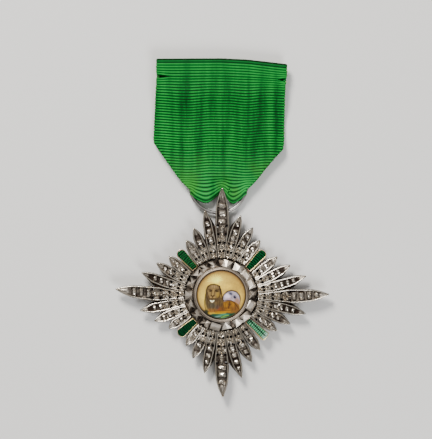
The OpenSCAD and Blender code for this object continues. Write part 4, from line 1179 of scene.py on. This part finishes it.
for k, (out_angle, reach, in_angle, roundness, left, right) in enumerate(ENAMEL_RAYS):
    root = Vector(at_angle(ROOT_R, in_angle, 0))
    tip = Vector(at_angle(reach * ENAMEL_REACH, out_angle, 0))
    ahead = (tip - root).normalized()
    aside = Vector((-ahead.y, ahead.x, 0))
    length = (tip - root).length

    def on_ray(x, y, z):
        return root + ahead * x + aside * y + Vector((0, 0, z + BACK_Z))

    def loop(inset):
        return tray_loop(length, inset, left, right, roundness)

    rim = stack_loops("rim", [(loop(inset), z, wear) for inset, z, wear in (
        (0, 0.05, 0.3), (0, TRAY_H - 0.12, 0.6), (0.05, TRAY_H, 1.0), (TRAY_RIM * 0.8, TRAY_H, 1.0),
        (TRAY_RIM, TRAY_H - 0.14, 0.6), (TRAY_RIM, TRAY_FLOOR, 0.1), (0.06, 0.0, 0.4))],
        on_ray, closed_ring=True)
    floor_plate = stack_loops("plate", [(loop(0.06), 0.0, 0.4),
                                        (loop(TRAY_RIM * 0.9), TRAY_FLOOR, 0.1)], on_ray)
    clamp = stack_loops("clamp", [(TONGUE, 0.0, 0.3), (TONGUE, ROOT_T, 0.3)], on_ray)
    for part in (rim, floor_plate, clamp):
        part.data.materials.append(worn_gilt)
    tray = join("gilt_tray_%d" % (k + 1), [rim, floor_plate, clamp])
    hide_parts("enamel_tray_%d" % (k + 1))
    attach(tray, "root")
    glass = stack_loops("green_enamel_%d" % (k + 1), [
        (loop(TRAY_RIM + inset), TRAY_FLOOR + 0.06 + rise, 0) for inset, rise in (
            (0.03, 0), (0.03, 0.6), (0.07, 0.66), (0.3, 0.69), (0.55, 0.7))], on_ray)
    local = [Vector(p) - root for p in positions(glass)]
    set_number(glass, "along", [p.dot(ahead) for p in local])
    set_number(glass, "across", [p.dot(aside) / (TRAY_W / 2) for p in local])
    glass.data.materials.append(enamels[k])
    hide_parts("enamel_ray_%d" % (k + 1))
    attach(glass, "root")
    print(glass.name, "length", round(length, 1), "mm")

# %% [markdown]
# ## The ribbon
#
# The ribbon is one band of ribbed silk. It starts behind its top, turns over to the front, runs
# down, turns round the ring and runs up again at the back. Near the ring its sides are turned
# under, which gives the slanted lower edges. A cloth simulation would lose the ribs, so the band
# is laid by rule: rows run across it and follow the ribs, and columns run down it.

# %% Edges and heights of the ribbon
RIB_PITCH, CLOTH_T, RIBBON_W = 0.81, 0.42, 37.5
HALF_FRONT, REST_GAP, PIN_LIFT, TOP_BULGE, LOOP_BULGE = 18.8, 0.03, 1.96, 0.95, 1.25
# Of each side at least this much is turned under, and at most that much.
LEAST_FLAP, MOST_FLAP = 0.3, 5.0
# Heights on the ribbon: its top edge, where it turns over, where its loop begins and turns.
RIBBON_TOP, FOLD_ROW, LOOP_START, LOOP_ROW = 69.1, 68.1, 35.4, 29.6
# Rows: height on the ribbon, left edge, right edge.
EDGES = ((69.1, -18.7, 19.1), (66.5, -18.8, 19.0), (64.4, -18.7, 18.9), (62.0, -18.8, 18.6),
         (58.5, -19.0, 18.5), (50.6, -19.4, 18.3), (45.4, -19.65, 18.2), (44.3, -19.5, 18.15),
         (42.6, -18.4, 17.9), (36.0, -13.5, 12.15), (29.4, -8.75, 7.05))
# Rows: place across, lower edge of the hanging loop.
LOOP = ((-9, 29.6), (-7.4, 28.1), (-5.3, 27.1), (-4, 27.0), (-2.6, 27.8), (-1.5, 28.9), (0.1, 29.9),
        (1.5, 28.9), (2.3, 27.5), (3.0, 26.9), (3.8, 26.75), (5.4, 27.8), (7.2, 29.5))
# Rows: place across, height of the top edge.
TOP_EDGE = ((-19, 69.0), (0, 69.1), (8, 68.7), (19.2, 67.4))
# Rows: share of the half width, rise of the soft folds that run down the ribbon.
FOLDS = ((-1, 0.15), (-0.85, 0.25), (-0.66, -0.05), (-0.5, 0.12), (-0.3, 0.3), (-0.12, 0.02),
         (0.05, 0.1), (0.2, 0.05), (0.32, 0.32), (0.5, 0.2), (0.66, 0.02), (0.82, 0.22), (1, 0.2))
# Rows: share of the half width, shift of the ribs along the ribbon, where its folds pull them.
WAVES = ((-1, 0.3), (-0.84, 0.1), (-0.68, -0.16), (-0.5, -0.3), (-0.34, -0.05), (-0.18, 0.26),
         (0.0, 0.14), (0.16, 0.2), (0.3, -0.2), (0.44, -0.28), (0.6, 0.1), (0.78, 0.22), (1, 0.0))


def read(table, x, column=1):
    rows = sorted(table)
    return np.interp(x, [row[0] for row in rows], [row[column] for row in rows])


def soft_read(table, x, width=0.8):
    """Reads a table between its rows, with the corners softened over a width."""
    steps = np.linspace(-width, width, 7)
    return sum(read(table, x + s) for s in steps) / len(steps)


def lift(y):
    """How high the ribbon is held by the pin under its top."""
    return PIN_LIFT * smooth_step(50.5, 60.3, y)


def resting(y):
    """The middle of a layer that lies on what is below it."""
    return lift(y) + REST_GAP + CLOTH_T / 2


def front_z(x, y):
    """The front's middle surface. It climbs towards the ring, ducks under the tip of the top ray,
    and has soft folds, drooping sides and a low step over the hem."""
    over_ring = 1 - smooth_step(41.6, 47.5, y)
    under_ray = (1 - smooth_step(1.6, 3.6, np.abs(x))) * (1 - smooth_step(32.4, 35.2, y))
    rise = 1.4 + 1.45 * over_ring
    rise = rise + (1.86 - rise) * under_ray
    share = np.clip(x / HALF_FRONT, -1, 1)
    fold = read(FOLDS, share) * smooth_step(67, 55, y) * (1 - under_ray) * (0.9 - 0.5 * over_ring)
    droop = 0.35 * smooth_step(0.8, 1.0, np.abs(share)) * (1 - over_ring) * smooth_step(67, 60, y)
    hem = 0.22 * smooth_step(63.6, 64.4, y) * (1 - smooth_step(66.5, 68.5, y) * 0.6)
    return lift(y) + rise + fold - droop + hem


def back_z(y):
    """The back's middle surface, which the turned-over hem lifts near the top."""
    return resting(y) + 0.5 * smooth_step(64.6, 65.8, y)


# %% Rows of the ribbon, from its hem behind the top to its end
def ribbon_rows():
    """Each row: the part of the band it is in, its height on the ribbon, its way round a turn."""
    return ([("hem", y, 0.0) for y in np.linspace(66.2, FOLD_ROW, 8)]
            + [("top", FOLD_ROW, a) for a in np.linspace(0, math.pi, 12)[1:-1]]
            + [("front", y, 0.0) for y in np.arange(FOLD_ROW, LOOP_ROW, -RIB_PITCH / 6)]
            + [("loop", LOOP_ROW, a) for a in np.linspace(0, math.pi, 14)[1:-1]]
            + [("back", y, 0.0) for y in np.arange(LOOP_ROW, 68.0, RIB_PITCH / 3)])


def flap_width(y, side):
    """How much of the band is turned under at a side."""
    edge = abs(read(EDGES, y, 1 if side < 0 else 2))
    return max(LEAST_FLAP, min(MOST_FLAP, RIBBON_W / 2 + LEAST_FLAP - edge))


FRONT_COLUMNS, TURN_COLUMNS, FLAP_COLUMNS, TURN_R = 60, 4, 4, 0.26
# Slits at the hem: x of their outer end, x of their inner end, height, opening.
NOTCHES = ((-18.7, -14.9, 64.1, 1.25), (18.9, 16.6, 63.7, 1.5))


def row_points(kind, y_row, turn):
    """One row of points across the band, with the direction out of the cloth at each."""
    left, right = float(read(EDGES, y_row, 1)), float(read(EDGES, y_row, 2))
    x = np.linspace(left + TURN_R, right - TURN_R, FRONT_COLUMNS)
    top_bend = (soft_read(TOP_EDGE, x) - RIBBON_TOP) * smooth_step(59, 68, y_row)
    deep = np.clip((LOOP_START - y_row) / (LOOP_START - LOOP_ROW), 0, 1) ** 1.5
    z_front, z_back = front_z(x, y_row), back_z(y_row)
    bulge = np.minimum(LOOP_BULGE, (z_front - z_back) / 2 + 0.2)
    loop_bend = (soft_read(LOOP, x, 0.5) + bulge - LOOP_ROW) * deep
    waves = soft_read(WAVES, x / HALF_FRONT, 0.07) * smooth_step(66.5, 56, y_row) * (1 - deep)
    y = y_row + top_bend + loop_bend + waves
    for edge, apex, centre, gape in NOTCHES if kind == "front" else ():
        inside = np.clip((x - apex) / (edge - apex), 0, 1)
        away = y_row - centre
        y = y + np.sign(away) * gape / 2 * inside ** 1.2 * np.exp(-abs(away) / 1.1)
    out_y, out_z = np.zeros_like(x), np.ones_like(x)
    if kind == "front":
        z = z_front
    elif kind == "back":
        z, out_z = np.full_like(x, z_back), -out_z
    elif kind == "hem":
        z, out_z = np.full_like(x, resting(y_row)), -out_z
    elif kind == "top":
        z = mix(resting(y_row), z_front, (1 - math.cos(turn)) / 2)
        y = y + TOP_BULGE * math.sin(turn)
        out_y, out_z = out_y + math.sin(turn), -out_z * math.cos(turn)
    else:
        z = mix(z_front, z_back, (1 - math.cos(turn)) / 2)
        y = y - bulge * math.sin(turn)
        out_y, out_z = out_y - math.sin(turn), out_z * math.cos(turn)
    return x, y, z, out_y, out_z


def full_row(kind, y_row, turn):
    """The row with its two turned-under sides. Also each point's way across the flat band."""
    x, y, z, out_y, out_z = row_points(kind, y_row, turn)
    middle = [(a, b, c, (0, oy, oz)) for a, b, c, oy, oz in zip(x, y, z, out_y, out_z)]
    ends = []
    for side, k in ((-1, 0), (1, -1)):
        base, width = Vector(middle[k][:3]), flap_width(y_row, side)
        out = Vector(middle[k][3])
        flap, ways = [], []
        for a in np.linspace(0, math.pi, TURN_COLUMNS + 2)[1:]:
            flap.append((*(base + Vector((side * TURN_R * math.sin(a), 0, 0))
                           - out * TURN_R * (1 - math.cos(a))),
                         tuple(out * math.cos(a) + Vector((side * math.sin(a), 0, 0)))))
            ways.append(x[k] + side * TURN_R * a)
        end = base - out * 2 * TURN_R
        for f in np.linspace(0, width, FLAP_COLUMNS + 1)[1:]:
            flap.append((*(end - Vector((side * f, 0, 0))), tuple(-out)))
            ways.append(x[k] + side * (TURN_R * math.pi + f))
        ends.append((flap, ways))
    (left_flap, left_ways), (right_flap, right_ways) = ends
    return left_flap[::-1] + middle + right_flap, left_ways[::-1] + list(x) + right_ways


rows = ribbon_rows()
laid = [full_row(*row) for row in rows]
columns = len(laid[0][0])
centre = columns // 2
way_down = [0.0]
for (a, _), (b, _) in zip(laid, laid[1:]):
    way_down.append(way_down[-1] + (Vector(a[centre][:3]) - Vector(b[centre][:3])).length)
first_front = next(k for k, row in enumerate(rows) if row[0] == "front")

# %% Raise the ribs and make the cloth
RIB_H = 0.2
cloth_points, down_way, across_way, crowns = [], [], [], []
for k, (row, ways) in enumerate(laid):
    down = way_down[k] - way_down[first_front]
    crown = math.sin(math.pi * (down / RIB_PITCH % 1.0)) ** 0.75
    for x, y, z, out in row:
        rise = RIB_H * (1 + 1.3 * abs(out[0])) * (crown - 0.6)
        cloth_points.append(Vector((x, y, z)) + Vector(out) * rise)
    down_way += [down] * columns
    crowns += [crown] * columns
    across_way += ways


def in_notch(k, c):
    """Whether a face lies in one of the two slits at the hem."""
    if rows[k][0] != "front":
        return False
    x = laid[k][0][c][0]
    for edge, apex, centre_y, _ in NOTCHES:
        crosses = rows[k][1] >= centre_y > rows[k + 1][1]
        if crosses and (x < apex if edge < 0 else x > apex):
            return True
    return False


cloth_faces = [(a, a + columns, a + columns + 1, a + 1)
               for k in range(len(rows) - 1) for c in range(columns - 1) if not in_notch(k, c)
               for a in [k * columns + c]]
ribbon = new_piece("silk_ribbon", cloth_points, cloth_faces)
for name, values in (("down", down_way), ("across", across_way), ("crown", crowns)):
    set_number(ribbon, name, values)
shell = ribbon.modifiers.new("cloth", "SOLIDIFY")
shell.thickness, shell.offset = CLOTH_T * MM, 0.0
apply_modifiers(ribbon)
turn_faces_out(ribbon)
ribbon.data.shade_smooth()
FLAT_W = max(ways[-1] - ways[0] for _, ways in laid)
flat_area = sum((ways[-1] - ways[0]) * (b - a)
                for (_, ways), a, b in zip(laid, way_down, way_down[1:]))

# %% [markdown]
# ## Ribbed silk
#
# The silk is painted bright on the crowns of its ribs, a painted highlight, and a very dark green
# between them, a painted shade. Soft bands of painted sheen and shade run down it, where soft folds
# turn to and from the light. The finish reads how far down and across the flat band a point lies,
# so the bands, the warp threads and the wear stay with the cloth.

# %% The silk's finish
# Stops: share of the width from left to right, how bright the painted sheen makes the silk there.
BANDS = ((0.0, 0.7), (0.06, 0.8), (0.13, 0.42), (0.2, 0.3), (0.28, 0.85), (0.36, 0.9), (0.45, 0.35),
         (0.53, 0.5), (0.62, 0.85), (0.7, 0.5), (0.78, 0.75), (0.88, 0.45), (1.0, 0.9))
WARP_PITCH = 0.24


def silk_finish():
    look = Finish("green_silk", Roughness=0.5, Sheen_Weight=0.02, Sheen_Roughness=0.35,
                  Sheen_Tint=rgb(120, 220, 120), Specular_IOR_Level=0.05)
    at = look.place()
    across, down, crown = (look.stored(name) for name in ("across", "down", "crown"))
    sway = (look.noise(at, 0.12, 2.0) - 0.5) * 5.0
    bands = look.add("ShaderNodeValToRGB", (across + sway).remap(-RIBBON_W / 2, RIBBON_W / 2))
    ramp = bands.color_ramp
    ramp.interpolation = "B_SPLINE"
    for k, (share, level) in enumerate(BANDS):
        stop = ramp.elements[k] if k < 2 else ramp.elements.new(share)
        stop.position, stop.color = share, (level, level, level, 1)

    def streaks(scale_across, scale_down):
        """Flat noise that is drawn out down the band."""
        flat = look.add("ShaderNodeCombineXYZ", across * scale_across, down * scale_down)
        return look.noise(flat.outputs[0], 1.0, 3.0, 0.5, "2D")

    thread = streaks(5.5, 0.5)
    # The light is painted sheen, from the bands and long streaks, with the threads' own tone in it.
    light = (Value(look, bands.outputs[0]) * 0.45 + streaks(0.36, 0.03).remap(0.3, 0.7, 0.08, 0.6)
             + (thread - 0.5) * 0.5)
    low = down.remap(26.0, 38.0)
    worn = look.noise(at, 0.09, 2.0).remap(0.48, 0.62) * low
    crest = look.blend(light.remap(0.1, 0.9), rgb(0, 40, 10), rgb(4, 102, 28))
    # In turn: a painted highlight on the crowns, the paler lower part, its olive patches, the bent
    # top.
    for share, tint in ((crown.remap(0.82, 1.0) * light.remap(0.3, 0.85) * 0.8, (16, 160, 62)),
                        (low * 0.6, (46, 158, 70)), (worn * 0.5, (64, 132, 32)),
                        (down.remap(10.0, 2.0) * 0.5, (24, 132, 52))):
        crest = look.blend(share, crest, rgb(*tint))
    # The grooves between the ribs get a very dark green, a painted shade, and near the top turn
    # that dark spreads over the crowns too, painted shade on the fold.
    gap = look.blend(down.remap(33.0, 41.0), rgb(0, 22, 4), rgb(6, 60, 18))
    depth = crown.remap(0.52, 1.0) * down.remap(-0.9, 0.5, 0.3, 1.0)
    look.shade(Base_Color=look.blend(depth, gap, crest))
    warp = look.number("SINE", across * (2 * math.pi / WARP_PITCH))
    look.bump(warp * 0.5 + thread, 0.3, 0.05)
    return look.material


ribbon.data.materials.append(silk_finish())
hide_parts("ribbon")
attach(ribbon, "root")

# %% [markdown]
# ## Loops along the selvedges
#
# The weft turns round at each edge of the band in small loops, and the old ones have gone pale
# olive. They come back at every second rib, so they are seats again for the node tree.

# %% Set the loops
def thread_loop():
    """A small bowed thread, open towards the cloth."""
    bow, n, thick = np.linspace(-0.62 * math.pi, 0.62 * math.pi, 9), 5, 0.32
    points = [Vector((math.cos(a), math.sin(a), 0)) * (1 + thick * math.cos(b))
              + Vector((0, 0, thick * math.sin(b)))
              for a in bow for b in np.linspace(0, 2 * math.pi, n + 1)[:-1]]
    return new_piece("thread_loop", points, tube_faces(len(bow), n))


def thread_finish():
    look = Finish("olive_thread", Roughness=0.7, Sheen_Weight=0.3)
    at = look.place()
    tone = look.noise(at, 0.9, 2.0).remap(0.35, 0.65)
    look.shade(Base_Color=look.blend(tone, rgb(48, 120, 52), rgb(146, 176, 96)))
    look.bump(look.noise(at, 6.0, 2.0), 0.3, 0.04)
    return look.material


SLANT_TOP = 44
loop_shape = thread_loop()
loop_seats = []
for y_row in np.arange(66.9, 31.0, -2 * RIB_PITCH):
    row, _ = full_row("front", y_row, 0.0)
    size = 0.17 if y_row < SLANT_TOP else 0.25
    for side in (-1, 1):
        edge = max(row, key=lambda p: side * p[0])
        loop_seats.append(((edge[0] + side * 0.1, edge[1], edge[2]), (0, 0, 90 - 90 * side),
                           (size, size * 1.15, size)))
loops = set_on_seats("selvedge_loops", loop_seats, loop_shape, thread_finish(), 14, 0.2, 5)
bpy.data.objects.remove(loop_shape)
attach(loops, "root")
FLAT_W * MM
flat_area * MM * MM
print(len(loop_seats), "selvedge loops")

# %% [markdown]
# ## The fittings behind
#
# Three fittings are hidden from the front: the eye that the ring runs through, the nut that
# clamps the boss, and the pin behind the ribbon. Their plain shapes are kept as constructed, and
# they only get their metal.

# %% Finish the fittings
for name, finish in (("hanging_eye", ring_silver), ("back_nut", nut_silver),
                     ("brooch_pin", pin_steel)):
    fitting = frame["nodes"][name]
    fitting.data.materials.clear()
    fitting.data.materials.append(finish)
    print(name, "in", finish.name)

# %% [markdown]
# ## Floor, light and camera
#
# The badge lies on a plain pale floor and is seen from straight above through a long lens, so
# that near and far parts keep their sizes. One large soft light comes from the top and a little
# from the left, as studs and knobs show it. A weaker one fills from below on the right.

# %% Floor, lights and camera
FLOOR_HALF, FLOOR_DROP, LIGHT_TARGET = 900, 0.02, (0, 15, 0)
floor = new_piece("floor", [(x * FLOOR_HALF, y * FLOOR_HALF, -FLOOR_DROP)
                            for x, y in ((-1, -1), (1, -1), (1, 1), (-1, 1))],
                  [(0, 1, 2, 3)], smooth=False)
floor.data.materials.append(Finish("pale_floor", Base_Color=rgb(216, 214, 210),
                                   Roughness=0.75).material)


def area_light(name, place_mm, size_mm, power, colour):
    """A round soft light that is turned to the middle of the badge."""
    data = bpy.data.lights.new(name, "AREA")
    data.shape, data.size, data.energy, data.color = "DISK", size_mm * MM, power, colour
    light = put_in_scene(name, data)
    light.location = Vector(place_mm) * MM
    way = Vector(LIGHT_TARGET) - Vector(place_mm)
    light.rotation_euler = way.to_track_quat("-Z", "Y").to_euler()


area_light("window_top", (-230, 517, 520), 260, 9.2, (1.0, 0.985, 0.96))
area_light("fill_below", (230, -430, 420), 340, 4.0, (0.95, 0.97, 1.0))
scene.world = bpy.data.worlds.new("studio")
scene.world.use_nodes = True
# A soft studio dome: light above and towards the window, dim near the floor and on the far side.
sky = Nodes(scene.world.node_tree)
look_at = sky.add("ShaderNodeTexCoord").outputs["Generated"]
side_on = Value(sky, sky.vector("DOT_PRODUCT", look_at, (-0.28, 0.6, 0.75), output="Value"))
sky.fill(sky.tree.nodes["Background"], {"Color": (0.80, 0.81, 0.83, 1),
                                        "Strength": side_on.remap(0.0, 0.95, 0.14, 0.76)})

# The camera's frame in the photograph's pixels, and the pixel over the middle of the star.
PHOTO_W, PHOTO_H, MM_PER_PX, CENTRE_PX = 432, 439, 0.293, (221.2, 294.6)
CAMERA_H, SENSOR_MM = 900.0, 36.0
view_x = (PHOTO_W / 2 - CENTRE_PX[0]) * MM_PER_PX
view_y = (CENTRE_PX[1] - PHOTO_H / 2) * MM_PER_PX
frame_w = MM_PER_PX * max(PHOTO_W, PHOTO_H)
camera_data = bpy.data.cameras.new("camera")
camera_data.sensor_fit, camera_data.sensor_width = "AUTO", SENSOR_MM
camera_data.lens = SENSOR_MM * (CAMERA_H - 4) / frame_w
camera_data.clip_start, camera_data.clip_end = 0.01, 10.0
scene.camera = put_in_scene("camera", camera_data)
scene.camera.location = Vector((view_x, view_y, CAMERA_H)) * MM
print("camera looks at", round(view_x, 2), round(view_y, 2), "frame", round(frame_w, 1), "mm")
